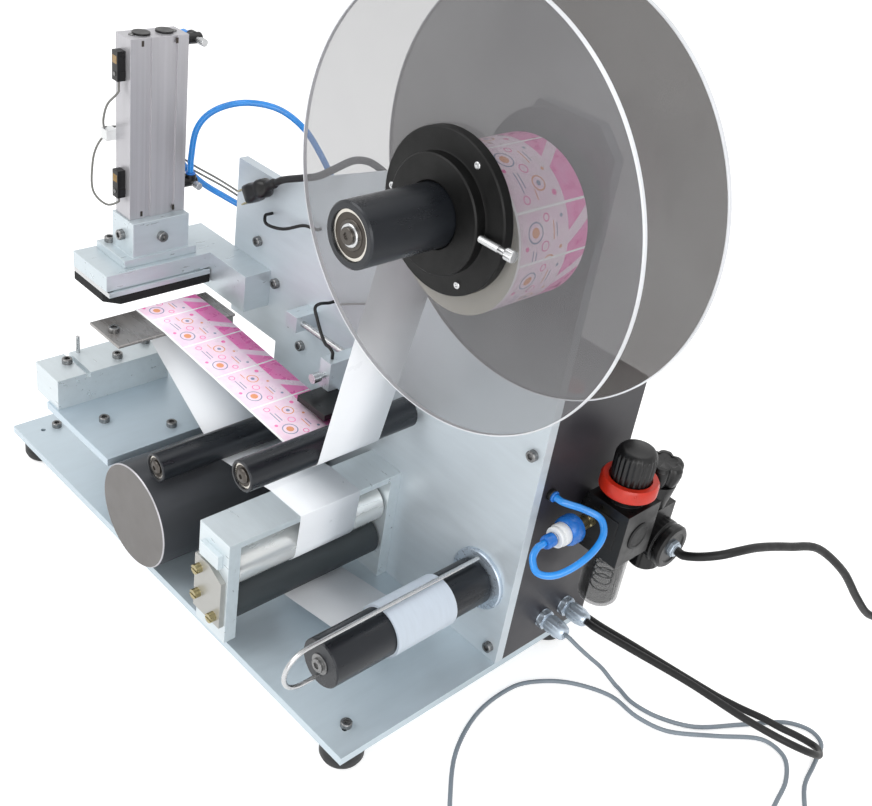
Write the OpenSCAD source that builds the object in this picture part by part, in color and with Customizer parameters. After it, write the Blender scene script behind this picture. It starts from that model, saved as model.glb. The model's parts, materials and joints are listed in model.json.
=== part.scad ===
/* [Base] */
// Length of the base plate, left to right
base_len = 545; // [500:1:620]
// Depth of the base plate, front to back
base_depth = 300; // [292:1:340]
// Thickness of the base plate
base_t = 8; // [5:0.5:12]
// Diameter of a rubber foot
foot_d = 38; // [26:1:44]
// Height of a rubber foot
foot_h = 22; // [12:1:35]
// Distance of a foot's centre from both edges
foot_inset = 22; // [22:1:40]

/* [Side plate] */
// Thickness of the upright side plate
plate_t = 10; // [8:0.5:14]
// Distance of the side plate's front face from the base's front edge
plate_y = 178; // [174:1:184]
// Height of the side plate above the base at the reel
plate_h = 494; // [484:1:520]
// Height of the top edge of the left arm
arm_top_z = 320; // [312:1:330]
// Height of the underside of the left arm
arm_low_z = 157; // [150:1:164]
// Length of the lower part, from the right edge
plate_low_len = 343; // [340:1:350]
// Length out to the end of the left arm
plate_arm_len = 418; // [410:1:424]

/* [Control box] */
// Height of the control box
box_h = 265; // [250:1:280]
// Depth of the control box behind the side plate
box_depth = 112; // [105:1:112]
// Thickness of the control box sheet
box_wall = 1.6; // [1.2:0.1:3]

/* [Reel] */
// Height of the reel axis above the base
reel_z = 451.4; // [445:0.5:460]
// Distance of the reel axis from the right edge
reel_back = 28.2; // [24:0.5:40]
// Diameter of the two clear discs
disc_d = 300; // [260:1:300]
// Thickness of a clear disc
disc_t = 3; // [2:0.5:5]
// Front face of the front disc, from the base's front edge
front_disc_y = 53.8; // [48:0.1:56]
// Front face of the rear disc
rear_disc_y = 136.3; // [134:0.1:142]
// Outer diameter of the black sleeve
sleeve_d = 42; // [40:0.5:46]
// How far the sleeve stands out before the base's front edge
sleeve_front = 30; // [20:1:34]
// Bore of the sleeve, which takes the ball bearings
sleeve_bore = 32.1; // [32.06:0.02:32.2]
// Diameter of the fixed shaft
shaft_d = 15; // [12:0.5:17]
// Diameter of a clamping flange
flange_d = 108; // [96:1:114]
// Thickness of a clamping flange
flange_t = 7.8; // [6:0.1:9]
// Diameter of the collar that carries the clamp screw
collar_d = 78; // [70:1:84]
// Length of that collar
collar_len = 9; // [9:0.5:12]

/* [Label roll] */
// Width of the label web and of its roll
web_w = 66; // [50:1:68]
// Front edge of the web, from the base's front edge
web_y = 62; // [60:1:64]
// Bore of the cardboard core
core_bore = 76; // [70:1:78]
// Wall of the cardboard core
core_wall = 3; // [2:0.5:4]
// Outer diameter of the roll
roll_d = 110; // [96:1:130]
// Thickness of a web as modelled
web_t = 0.4; // [0.3:0.05:0.5]

/* [Rollers] */
// Diameter of an idler
idler_d = 27; // [26:0.5:28]
// Diameter of the idler axles
axle_d = 8; // [6:0.5:10]
// Outer diameter of the small ball bearings
bearing_d = 22; // [21:0.5:23]
// Width of the small ball bearings
bearing_w = 7; // [6:0.5:8]
// Diameter of the large guide drum
drum_d = 100; // [94:1:100]
// Wall of the guide drum
drum_wall = 4; // [3:0.5:6]
// Diameter of the metal pressure roller
press_roller_d = 38; // [34:0.5:38]
// Diameter of the rubber drive roller
drive_roller_d = 38; // [34:0.5:38]
// Diameter of the waste roller
waste_d = 42.6; // [38:0.2:44]
// Diameter of the waste paper wound on it
waste_paper_d = 47; // [46:0.5:47.6]

/* [Peel station] */
// Length of the table, left to right
table_len = 111; // [100:1:112]
// Thickness of the table
table_t = 8; // [6:0.5:10]
// Height of the table top above the base
table_z = 92; // [88:1:96]
// Height of the bar block on the table
block_h = 32; // [26:1:40]
// Thickness of the peel plate
peel_t = 3; // [2:0.5:4]
// Height of the peel plate's top above the base
peel_z = 190; // [184:1:191]

/* [Press head] */
// Height of the top of the press arm
arm_z = 228; // [222:1:234]
// Thickness of the press arm
arm_t = 16; // [12:1:18]
// Thickness of the foam pad
pad_t = 9; // [6:0.5:10]
// Width of the air cylinder, left to right
cyl_x = 24; // [20:1:28]
// Depth of the air cylinder, front to back
cyl_y = 58; // [50:1:60]
// Length of the air cylinder
cyl_len = 166; // [140:1:180]
// Diameter of the piston rod
rod_d = 10; // [8:0.5:12]

/* [Air unit] */
// Width of the regulator body
reg_w = 44; // [36:1:46]
// Diameter of the regulator knob
reg_knob_d = 36; // [32:1:40]
// Diameter of the locking ring
lock_ring_d = 50; // [42:1:52]
// Diameter of the filter bowl
bowl_d = 36; // [30:1:40]
// Length of the filter bowl
bowl_len = 60; // [50:1:70]
// Wall of the filter bowl
bowl_wall = 2; // [1.5:0.1:3]

/* [Hidden] */
$fn = 48;
// Shared clearances: running fit, soft gap between bodies, seat gap, cut overrun
run_gap = 0.05;
soft_gap = 0.3;
seat_gap = 0.3;
over = 1;
ring_fn = 20;
// Reel
reel_x = -reel_back;
shaft_flange_d = 60;
shaft_flange_t = 8;
big_bearing_d = sleeve_bore - 2 * run_gap;
big_bearing_w = 9;
bearing_recess = 1.5;
sleeve_end_gap = 4;
sleeve_end_y = plate_y - shaft_flange_t - sleeve_end_gap;
sleeve_len = sleeve_end_y + sleeve_front;
roll_drop = core_bore / 2 - sleeve_d / 2 - seat_gap;
roll_z = reel_z - roll_drop;
nose_screw_d = 11;
nose_screw_h = 2;
shaft_nut_d = 26;
shaft_nut_t = 8;
clamp_d = 5;
clamp_len = 40;
clamp_knob_d = 8;
clamp_knob_len = 7;
flange_y = front_disc_y - flange_t;
clamp_y = flange_y - collar_len / 2;
flange_screw_d = 5;
flange_screw_h = 1.2;
flange_screw_r = (flange_d / 2 + collar_d / 2) / 2;
rear_collar_len = 14;
// Rollers: axis places from the right edge and above the base
roller_front_y = -4;
roller_end_gap = 6;
roller_end_y = plate_y - roller_end_gap;
idler1_x = -268;
idler1_z = 121;
idler2_x = -147;
idler2_z = 189;
axle_collar_d = 14;
end_screw_d = 13;
end_screw_h = 2.5;
drum_x = -290;
drum_z = 56;
drum_front_y = -12;
drum_cap_t = 5;
drum_axle_d = 12;
drum_bearing_d = 28;
drum_web_t = 8;
drum_web_y = 24;
drum_bearing_w = 8;
drum_collar_d = 19;
// Nip housing
nip_x0 = -190;
nip_x1 = -148;
nip_front_y = -10;
nip_top_z = 119;
nip_top_t = 6;
nip_side_t = 12;
nip_foot_z = 12;
nip_cover_t = 5;
nip_far_t = 12;
roller_x = -169;
web_gap = soft_gap;
drive_z = 40.9;
nip_room = 1.04;
press_z = drive_z + press_roller_d / 2 + drive_roller_d / 2 + nip_room;
roller_shaft_d = 12;
bearing_block_w = 26;
bearing_block_h = 14;
nip_roller_gap = 1.5;
block_rise = 11;
cover_low_z = 30;
cover_high_z = 97;
cover_w = 38;
cover_cut = 18;
brass_d = 9;
brass_h = 6;
brass_slot_w = 1.6;
brass_slot_h = 1.5;
brass_shares = [[-0.3, 0.7], [-0.32, 0.28], [0.3, 0.14]];
// Waste roller
waste_x = -37.6;
waste_z = 74.5;
waste_front_y = 0;
waste_flange_d = 58;
waste_flange_t = 4;
waste_shaft_d = 12;
waste_screw_d = 12;
waste_screw_h = 4;
clip_d = 4;
clip_in_r = 13;
clip_out_r = waste_paper_d / 2 + clip_d / 2 + 1;
clip_angle = 88;
clip_far_y = 170;
clip_in_y = 60;
clip_near_y = -16;
clip_gap = 0.3;
axle_gap = 1.2;
waste_end_gap = 2;
waste_clear = 0.6;
waste_clear_r = clip_out_r + clip_d / 2 + waste_clear;
// Peel station
table_x0 = -445;
table_front_y = -12;
table_x1 = table_x0 + table_len;
post_w = 34;
post_gap = 26;
post_y0 = 62;
post_y1 = 150;
bar_x0 = -468;
bar_w = 42;
bar_y0 = -10;
bar_len = 120;
peel_x0 = -410;
peel_w = 51;
peel_y0 = 15;
holder_t = 10;
holder_gap = 2;
holder_y0 = web_y + web_w + holder_gap;
peel_y1 = holder_y0 + holder_t;
screw_d = 10;
screw_h = 5;
screw_hex_d = 5;
screw_hex_h = 2.5;
slot_w = 5;
slot_y = 29.4;
stop_rod_d = 4;
stop_rod_h = 18;
// Press head
parm_x0 = -476;
parm_w = 60;
parm_y0 = 36;
bracket_x0 = -440;
bracket_in = 22.5;
bracket_w = -(plate_arm_len + plate_low_len) / 2 + bracket_in - bracket_x0;
bracket_y0 = 148;
bracket_h = 22;
pad_x0 = -477;
pad_w = 64;
pad_y0 = 37;
pad_len = 110;
pad_plate_t = 5;
pad_gap = 0.5;
pad_chamfer = 12;
cyl_x1 = -433;
cyl_y0 = 70;
foot_plate_t = 8;
foot_plate_x0 = -472;
foot_plate_w = 50;
foot_plate_y0 = 58;
foot_plate_len = 78;
cblock_x0 = -460;
cblock_w = 36;
cblock_y0 = 68;
cblock_len = 60;
cblock_h = 34;
cyl_z0 = arm_z + foot_plate_t + cblock_h;
cyl_top_z = cyl_z0 + cyl_len;
rod_x = cyl_x1 - cyl_x / 2;
rod_y = cyl_y0 + cyl_y / 2;
rod_gap = 0.08;
piston_d = 20;
piston_h = 12;
piston_share = 0.55;
bore_share = 0.8;
groove_shares = [0.28, 0.72];
cap_share = 0.2;
cap_plug_d = 16;
cap_plug_h = 2;
groove_w = 5;
groove_h = 1.5;
reed_w = 9;
reed_t = 8;
reed_len = 26;
reed_high_z = 398;
reed_low_z = 290;
fitting_d = 10;
elbow_end = 6;
elbow_socket_d = 11;
adjust_y0 = 4;
adjust_y1 = 16;
fit_low_z = 292;
elbow_y = 142;
elbow_reach = 9;
fit_high_z = 428;
knob_d = 7;
tube_d = 6;
// Sensor
guide_y = 161;
guide_z = 211;
guide_d = 6;
guide_x0 = -300;
guide_x1 = -190;
guide_block_w = 16;
carriage_x0 = -220;
carriage_w = 14;
carriage_y0 = 130;
carriage_y1 = 175;
carriage_z0 = 160;
carriage_z1 = 218;
head_x0 = -216;
head_w = 38;
head_y0 = 104;
head_y1 = 141;
head_slot_past = 5;
head_slot_y1 = web_y + web_w + head_slot_past;
head_slot_h = 10;
head_z0 = 164;
head_z1 = 190;
thumb_d = 9;
thumb_h = 8;
thumb_stem_d = 5;
thumb_stem_len = 6;
// Air unit on the box's end face
reg_x = 34;
reg_y = 258;
reg_z0 = 124;
reg_h = 54;
reg_neck_d = 34;
reg_neck_h = 8;
ring_h = 13;
knob_h = 41;
knob_ribs = 24;
rib_d = 2.4;
bowl_foot_share = 0.3;
bowl_round_share = 0.2;
rib_tip_d = 2.2;
rib_low_share = 1.7;
valve_w = 24;
valve_y0 = reg_y + reg_w / 2;
valve_len = 46;
valve_z0 = 122;
valve_h = 30;
valve_stem_in = 26;
valve_knob_d = 38;
valve_knob_h = 20;
valve_neck_d = 24;
valve_neck_top_d = 32;
valve_neck_h = 24.7;
// Coupling on the valve's inlet, along X, and the drain cup under the valve
cap_d = 42;
cap_len = 28.5;
cap_x0 = 36;
cap_y = 311;
cap_z = 117.5;
drain_d = 30;
drain_len = 34;
drain_round = 3;
drain_out = 8;
cap_nose = 4;
cap_nose_d = 13;
// Lobes of the valve knob, the boss on the box and the bowl's spring
lobe_out = 2.4;
lobes = 6;
lobe_d = 12;
boss_d = 20;
spring_wire = 1.4;
spring_r = 9;
spring_turns = 6;
spring_len = 44;
spring_steps = 12;
// Fittings on the control box
gland_hex_d = 20;
gland_hex_t = 6;
gland_nut_d = 17;
gland_len = 28;
gland1_y = 235;
gland1_z = 26;
gland2_y = 265;
gland2_z = 26;
outlet_x = 20;
outlet_z = 154;
outlet_nut_d = 15;
outlet_nut_len = 20;
outlet_ring_d = 26;
outlet_ring_len = 14;
outlet_cap_d = 20;
outlet_cap_len = 12;
outlet_nose_d = 12;
outlet_nose_len = 12;
collet_d = 11;
collet_len = 6;
button_x = -18;
button_y = 222;
button_d = 18;
button_h = 9;
button_well = 6;
button_collar_d = 26;
button_collar_h = 5;
button_bevel = 1.5;
// Drive inside the box
motor_in = 39.4;
motor_d = 80;
motor_x = -plate_low_len + box_wall + motor_in + motor_d / 2;
motor_z = 92;
motor_y0 = 208;
motor_shaft_d = 10;
pulley_y0 = 193;
pulley_w = 11;
motor_pulley_d = 30;
drive_pulley_d = 36;
belt_t = 1.6;
belt_w = 8;
psu = [84, 60, 46];
psu_x0 = -130;
psu_y0 = 226;
air_valve = [60, 26, 40];
air_valve_x0 = -120;
air_valve_z0 = 170;
// Socket screws: base, table, bar block and side plate, each from the edge it is near
base_in = [[24, 25], [23, 37], [24, 44], [95, 210]];
base_screws = [[-base_in[0][0], base_in[0][1]], [-base_len + base_in[1][0], base_in[1][1]],
    [-base_in[2][0], base_depth - base_in[2][1]], [-base_len + base_in[3][0], base_in[3][1]]];
table_in = [[56, 29], [95, 78]];
table_screws = [for (p = table_in) [table_x0, table_front_y] + p];
bar_in = [[16, 24], [30, 70], [18, 108]];
bar_screws = [for (p = bar_in) [bar_x0, bar_y0] + p];
low_in = [40, 16];
beside_in = [10, -9];
edge_in = [[-10, 224], [-10, 14]];
arm_in = [39, 93];
hole_in = [103, 143];
plate_screws = concat([[-plate_low_len, arm_low_z] + low_in, [bracket_x0 + bracket_w, arm_z] + beside_in],
    edge_in, [[-plate_arm_len, arm_low_z] + arm_in]);
plate_hole = [-plate_low_len, arm_low_z] + hole_in;
foot_screw_in = 7;
// Cords
mains_d = 6.5;
cable_d = 4;
hose_d = 8;
lead_d = 3;
thin_d = 2;
floor_z = -base_t - foot_h;

// Overall box, without the cords, and the shift that centres it on the floor
all_x1 = max(cap_x0 + cap_len + cap_nose, reel_x + disc_d / 2);
all_x0 = -base_len;
all_y0 = min(-sleeve_front - nose_screw_h, clip_near_y - (clip_out_r + clip_in_r + clip_d) / 2);
all_y1 = max(valve_y0 + valve_len, cap_y + cap_d / 2);
shift_x = -(all_x0 + all_x1) / 2;
shift_y = -(all_y0 + all_y1) / 2;
shift_z = -floor_z;

module placed() translate([shift_x, shift_y, shift_z]) children();
module block_at(p, s) translate(p) cube(s);
module rod_along_y(x, z, y0, y1, d, fn = 48) {
    translate([x, y0, z]) rotate([-90, 0, 0]) cylinder(h = y1 - y0, d = d, $fn = fn);
}
module rod_along_x(x0, x1, y, z, d, fn = 48) {
    translate([x0, y, z]) rotate([0, 90, 0]) cylinder(h = x1 - x0, d = d, $fn = fn);
}
module ring_along_y(x, z, y0, y1, od, id) {
    difference() {
        rod_along_y(x, z, y0, y1, od);
        rod_along_y(x, z, y0 - over, y1 + over, id);
    }
}
module slab_xz(y0, t, pts) translate([0, y0 + t, 0]) rotate([90, 0, 0])
    linear_extrude(height = t) polygon(pts);
// A socket head screw that stands on a face, pointing up, with its hexagon hole
module cap_screw(p, d = screw_d, h = screw_h) {
    translate(p) difference() {
        cylinder(h = h, d = d, $fn = ring_fn);
        translate([0, 0, h - screw_hex_h]) cylinder(h = screw_hex_h + over, d = screw_hex_d, $fn = 6);
    }
}
module cap_screw_front(p) translate(p) rotate([90, 0, 0]) cap_screw([0, 0, 0]);

// Web paths: a chain of circles, each with its centre, its radius and the side the web passes
function unit(v) = v / norm(v);
function turn2(v, a) = [v[0] * cos(a) - v[1] * sin(a), v[0] * sin(a) + v[1] * cos(a)];
function side_n(t) = [t[1], -t[0]];
function tangent(a, b) =
    let (d = b[0] - a[0], phi = asin((a[2] * a[1] - b[2] * b[1]) / norm(d)), t = turn2(unit(d), phi),
        n = side_n(t))
    [a[0] + a[2] * a[1] * n, b[0] + b[2] * b[1] * n];
function ang(v) = atan2(v[1], v[0]);
function full(a) = let (m = a - 360 * floor(a / 360)) m > 350 ? 0 : m;
function arc(c, p, q) =
    let (a0 = ang(p - c[0]), a1 = ang(q - c[0]), da = c[2] > 0 ? full(a1 - a0) : -full(a0 - a1),
        n = max(1, ceil(abs(da) / 6)))
    [for (i = [0:n]) c[0] + c[1] * [cos(a0 + da * i / n), sin(a0 + da * i / n)]];
function chain(cs) =
    let (n = len(cs), ts = [for (i = [0:n - 2]) tangent(cs[i], cs[i + 1])])
    [ts[0][0], for (i = [1:n - 2]) each arc(cs[i], ts[i - 1][1], ts[i][0]), ts[n - 2][1]];
function seg_n(a, b) = side_n(unit(b - a));
function pt_n(p, i) =
    i == 0 ? seg_n(p[0], p[1]) : i == len(p) - 1 ? seg_n(p[i - 1], p[i]) :
    unit(seg_n(p[i - 1], p[i]) + seg_n(p[i], p[i + 1]));
function thin(p, e) = [for (i = [0:len(p) - 1]) if (i == 0 || norm(p[i] - p[i - 1]) > e) p[i]];
function ribbon(p, t) = concat([for (i = [0:len(p) - 1]) p[i] + pt_n(p, i) * t / 2],
    [for (i = [len(p) - 1:-1:0]) p[i] - pt_n(p, i) * t / 2]);
half_web = web_gap + web_t / 2;
peel_r = peel_t / 2 + half_web;
nose_c = [peel_x0 + peel_t / 2, peel_z - peel_t / 2];
lip_c = [peel_x0 + peel_w - peel_t / 2, peel_z - peel_t / 2];
label_path = chain([
    [[reel_x, roll_z], roll_d / 2 + half_web, 1],
    [[idler2_x, idler2_z], idler_d / 2 + half_web, -1],
    [lip_c, peel_r, 1],
    [nose_c, peel_r, 1]]);
liner_path = chain([
    [lip_c, peel_r, 1],
    [nose_c, peel_r, 1],
    [[idler1_x, idler1_z], idler_d / 2 + half_web, 1],
    [[nip_x0, nip_top_z], half_web, -1],
    [[nip_x1, nip_top_z], half_web, -1],
    [[nip_x1, nip_top_z - nip_top_t], half_web, -1],
    [[roller_x, press_z], press_roller_d / 2 + half_web, -1],
    [[roller_x, drive_z], drive_roller_d / 2 + half_web, 1],
    [[waste_x, waste_z], waste_clear_r, 1]]);
nose_skip = 2;
liner_cut = [for (i = [nose_skip:len(liner_path) - 1]) liner_path[i]];

// Swept tubes along a smoothed route
function blend(a, b, c, d, t) = 0.5 * (2 * b + (c - a) * t + (2 * a - 5 * b + 4 * c - d) * t * t
    + (3 * b - a - 3 * c + d) * t * t * t);
function smooth(p, k) = let (n = len(p))
    concat([p[0], p[1]], [for (i = [1:n - 3]) for (j = [1:k]) blend(p[i - 1], p[i], p[i + 1], p[i + 2],
        j / k)],
        [p[n - 1]]);
function tan_at(p, i) = let (n = len(p)) unit(p[min(i + 1, n - 1)] - p[max(i - 1, 0)]);
function flat_to(v, t) = unit(v - (v * t) * t);
function start_ref(t) = abs(t[2]) < 0.9 ? [0, 0, 1] : [1, 0, 0];
function normals(p) = [for (i = 0, v = flat_to(start_ref(tan_at(p, 0)), tan_at(p, 0)); i < len(p);
    i = i + 1, v = i < len(p) ? flat_to(v, tan_at(p, i)) : v) v];
module sweep(p, r, sides) {
    n = len(p);
    ns = normals(p);
    pts = [for (i = [0:n - 1]) let (t = tan_at(p, i), u = ns[i], w = cross(t, u))
        for (k = [0:sides - 1]) p[i] + r * (cos(360 * k / sides) * u + sin(360 * k / sides) * w)];
    faces = concat([[for (k = [sides - 1:-1:0]) k]],
        [for (i = [0:n - 2]) for (k = [0:sides - 1]) for (f = [0, 1])
            let (a = i * sides + k, b = i * sides + (k + 1) % sides)
            f == 0 ? [a, b, b + sides] : [a, b + sides, a + sides]],
        [[for (k = [0:sides - 1]) (n - 1) * sides + k]]);
    polyhedron(points = pts, faces = [for (f = faces) [for (k = [len(f) - 1:-1:0]) f[k]]], convexity = 8);
}
function path_len(p) = len(p) < 2 ? 0 : [for (i = 0, s = 0; i < len(p); i = i + 1,
    s = i < len(p) ? s + norm(p[i] - p[i - 1]) : s) s][len(p) - 1];
// A piled coil: spirals in on the lower layer, climbs in half a turn and spirals out on the upper
loop_rings = 24;
loop_sides = 6;
coil_space = 0.8;
function coil_pt(c, d, r_out, n, a0, dir, t) =
    let (pitch = d + coil_space, half = n / 2, up = t > half ? 1 : 0,
        rise = min(1, max(0, (t - half + 0.25) * 2)),
        r = r_out - pitch * (t < half ? t : n - t), a = a0 + dir * 360 * t)
    c + [r * cos(a), r * sin(a), d / 2 + rise * (d + coil_space)];
function coil_path(c, d, r_out, n, a0, dir) =
    [for (i = [0:n * loop_rings]) coil_pt(c, d, r_out, n, a0, dir, i / loop_rings)];
function self_gap(p, d) = min([for (i = [0:len(p) - 1]) for (j = [i + loop_rings / 2:len(p) - 1])
    norm(p[i] - p[j])]) - d;

// Routes, chosen by hand, measured from the base's right front top corner. Those that go round the end
// of the left arm move out with it where it is longer than drawn.
drawn_arm_len = 418;
arm_more = max(0, plate_arm_len - drawn_arm_len);
function carried(p, a, b) = let (n = len(p) - 2)
    [for (i = [0:n + 1]) p[i] - [arm_more * (i < a ? max(0, i - 1) / (a - 1) : i > b ? max(0,
        n - i) / (n - b) : 1), 0, 0]];
tube_a = [[-445, 142, 301], [-445, 142, 312], [-446, 148, 342], [-438, 161, 361], [-418, 180, 373],
    [-396, 202, 372], [-378, 220, 357], [-364, 232, 334], [-348, 240, 308], [-334, 243, 292],
    [-328, 244, 281], [-328, 244, 271]];
tube_b = carried([[-454, 142, 428], [-463, 142, 428], [-472, 141, 418], [-474, 138, 394],
    [-473, 138, 362], [-470, 139, 330], [-463, 144, 304], [-450, 158, 286], [-436, 178, 272],
    [-416, 197, 260], [-388, 210, 250], [-366, 214, 246], [-356, 214, 245], [-349, 214, 245]], 7, 9);
tube_c = [[20, 178, 154], [20, 170, 154], [23, 162, 148], [33, 158, 142], [44, 166, 143], [51, 182, 150],
    [53, 200, 159], [50, 213, 168], [40, 219, 175], [27, 212, 179], [18, 203, 182], [12, 199, 183],
    [6, 199, 183]];
reed_a = carried([[-445, 66, 398], [-445, 66, 388], [-450, 58, 376], [-450, 54, 364], [-455, 57, 354],
    [-465, 64, 349], [-471, 80, 345], [-474, 104, 338], [-476, 122, 328], [-474, 140, 312],
    [-464, 158, 298], [-448, 176, 287], [-428, 194, 274], [-402, 208, 262], [-370, 216, 256],
    [-352, 217, 254], [-343, 217, 254]], 10, 12);
reed_b = carried([[-445, 66, 290], [-445, 66, 285], [-452, 57, 281], [-463, 50, 292], [-466, 52, 318],
    [-464, 56, 334], [-467, 66, 340], [-473, 84, 338], [-477, 106, 331], [-479, 124, 320],
    [-476, 144, 302], [-464, 164, 289], [-446, 184, 277], [-424, 200, 265], [-398, 213, 257],
    [-370, 220, 253], [-352, 221, 252], [-343, 221, 252]], 10, 13);
head_lead = [[-262, 178, 241], [-262, 171, 241], [-262, 160, 243], [-258, 151, 243], [-248, 146, 238],
    [-236, 142, 230], [-226, 139, 226], [-218, 137, 227], [-213, 137, 224], [-213, 137, 218.4]];
plate_lead = [[-362, 178, 286], [-362, 170, 286], [-352, 164, 282], [-330, 166, 286], [-308, 170, 298],
    [-296, 172, 300], [-292, 174, 300], [-292, 178, 300]];
side_lead = [[-252, 178, 243], [-252, 174, 243], [-244, 173, 248], [-226, 173, 257], [-208, 173, 266],
    [-200, 174, 270], [-200, 178, 270]];
mains_pts = [[28, 265, 26], [38, 265, 26], [70, 274.5, 22.5], [129, 289, 19.5], [178, 297, 17],
    [207, 304, 15.5], [226, 313, 12], [238, 328, 3], [240, 346, -10], [231, 361, -19], [214, 361, -21],
    [198, 355.5, -20.5], [181, 351.5, -20.5], [161, 348, -23.5], [135, 344.5, -26.5], [100, 339, -26.5],
    [46, 331, -26.5], [0, 324, -26.5], [-60, 324, -26.5], [-130, 332, -26.5], [-200, 338, -24],
    [-232, 332, 20], [-246, 324, 100], [-254, 316, 180], [-262, 311, 248], [-267, 292, 294],
    [-266, 254, 328], [-263, 222, 356], [-262, 200, 371], [-265, 184, 374], [-273, 172, 366],
    [-288, 166, 354], [-306, 165, 345.5], [-326, 165, 336.5], [-336, 165, 331.5], [-344, 165, 326]];
cable_pts = [[28, 235, 26], [33, 235, 26], [40, 241, 18], [46, 255, 2], [54, 271, -16], [70, 276, -27.8],
    [92, 272, -27.8], [118, 278, -27.8], [146, 297, -27.8], [170, 334, -27.8], [194, 372, -27.8],
    [214, 384, -27.8], [230, 378, -27.8], [238, 352, -27.8], [246, 322, -27.8], [266, 290, -27.8],
    [276, 264, -27.8], [264, 246, -27.8], [248, 256, -27.8], [240, 284, -27.8], [232, 314, -27.8],
    [216, 336, -27.8], [192, 336, -27.8], [164, 304, -27.8], [134, 272, -27.8], [106, 262, -27.8],
    [76, 262, -27.8], [46, 246, -27.8], [26, 224, -27.8], [14, 196, -27.8], [16, 148, -27.8],
    [36, 100, -27.8], [70, 60, -27.8], [98, 34, -27.8], [112, 22, -27.8]];
hose_pts = [[68.5, 311, 117.5], [76, 311, 117.5], [90, 314, 124.5], [103, 323, 131.5], [111, 338, 134.5],
    [115, 358, 131.5], [119, 382, 124.5], [125, 412, 114.5], [134, 456, 98], [152, 492, 66],
    [164, 526, 24], [172, 556, -8], [178, 584, -24], [184, 612, -26], [190, 640, -26]];
function grounded(p, r) = [for (q = p) [q[0], q[1], max(q[2], floor_z + r)]];
mains_route = grounded(smooth(mains_pts, 2), mains_d / 2);
cable_route = grounded(smooth(cable_pts, 2), cable_d / 2);
hose_route = grounded(smooth(hose_pts, 3), hose_d / 2);
cable_coil_n = 7;
cable_coil_r = 32;
hose_coil_n = 5;
hose_coil_r = 58;
// Straight tails of the coils, and the connector and the quick fitting on their ends
cable_tail = 22;
cable_boot_d = 7;
cable_boot_len = 9;
cable_end_d = 11;
cable_end_len = 20;
hose_tail = 32;
hose_end_d = 14;
hose_nut_len = 16;
hose_nose_d = 9;
hose_nose_len = 18;

module base_plate() color([0.74, 0.77, 0.8]) placed() {
    difference() {
        block_at([-base_len, 0, -base_t], [base_len, base_depth, base_t]);
        for (x = [-base_len + foot_inset, -foot_inset]) for (y = [foot_inset, base_depth - foot_inset])
            translate([x, y, -base_t - over]) cylinder(h = base_t + 2 * over, d = screw_d / 2);
    }
}
foot_low_share = 0.42;
foot_top_share = 0.46;
foot_edge_share = 0.2;
module rubber_feet() color([0.05, 0.05, 0.05]) placed() {
    for (x = [-base_len + foot_inset, -foot_inset]) for (y = [foot_inset, base_depth - foot_inset])
        translate([x, y, floor_z]) rotate_extrude()
            polygon([[0, 0], [foot_d * foot_low_share, 0], [foot_d / 2, foot_h * foot_edge_share],
                [foot_d / 2, foot_h * (1 - foot_edge_share)], [foot_d * foot_top_share, foot_h], [0,
                    foot_h]]);
}
slope_z_share = 0.875;
slope_x_share = 0.263;
top_x_share = 0.18;
plate_corner = 19;
plate_shoulder = 60;
module side_plate() color([0.76, 0.78, 0.8]) placed() {
    difference() {
        slab_xz(plate_y, plate_t, [[0, 0], [0, plate_h - plate_corner], [-plate_corner, plate_h],
            [-plate_arm_len * top_x_share, plate_h], [-plate_arm_len * slope_x_share,
                plate_h * slope_z_share],
            [-plate_arm_len + plate_shoulder, arm_top_z], [-plate_arm_len, arm_top_z],
            [-plate_arm_len, arm_low_z], [-plate_low_len, arm_low_z], [-plate_low_len, 0]]);
        rod_along_y(reel_x, reel_z, plate_y - over, plate_y + plate_t + over, shaft_d);
        rod_along_y(idler1_x, idler1_z, plate_y - over, plate_y + plate_t + over, axle_d);
        rod_along_y(idler2_x, idler2_z, plate_y - over, plate_y + plate_t + over, axle_d);
        rod_along_y(drum_x, drum_z, plate_y - over, plate_y + plate_t + over, drum_axle_d);
        rod_along_y(roller_x, drive_z, plate_y - over, plate_y + plate_t + over, roller_shaft_d + axle_gap);
        rod_along_y(waste_x, waste_z, plate_y - over, plate_y + plate_t + over, waste_shaft_d + 2 * run_gap);
        for (p = concat(plate_screws, [plate_hole]))
            rod_along_y(p[0], p[1], plate_y - over, plate_y + plate_t + over, screw_hex_d);
    }
}
module control_box() color([0.07, 0.07, 0.08]) placed() {
    y0 = plate_y + plate_t;
    difference() {
        block_at([-plate_low_len, y0, 0], [plate_low_len, box_depth, box_h]);
        block_at([-plate_low_len + box_wall, y0 - over, -over],
            [plate_low_len - 2 * box_wall, box_depth - box_wall + over, box_h - box_wall + over]);
        translate([button_x, button_y, box_h - box_wall - over]) cylinder(h = box_wall + 2 * over,
            d = button_d);
    }
}
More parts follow.
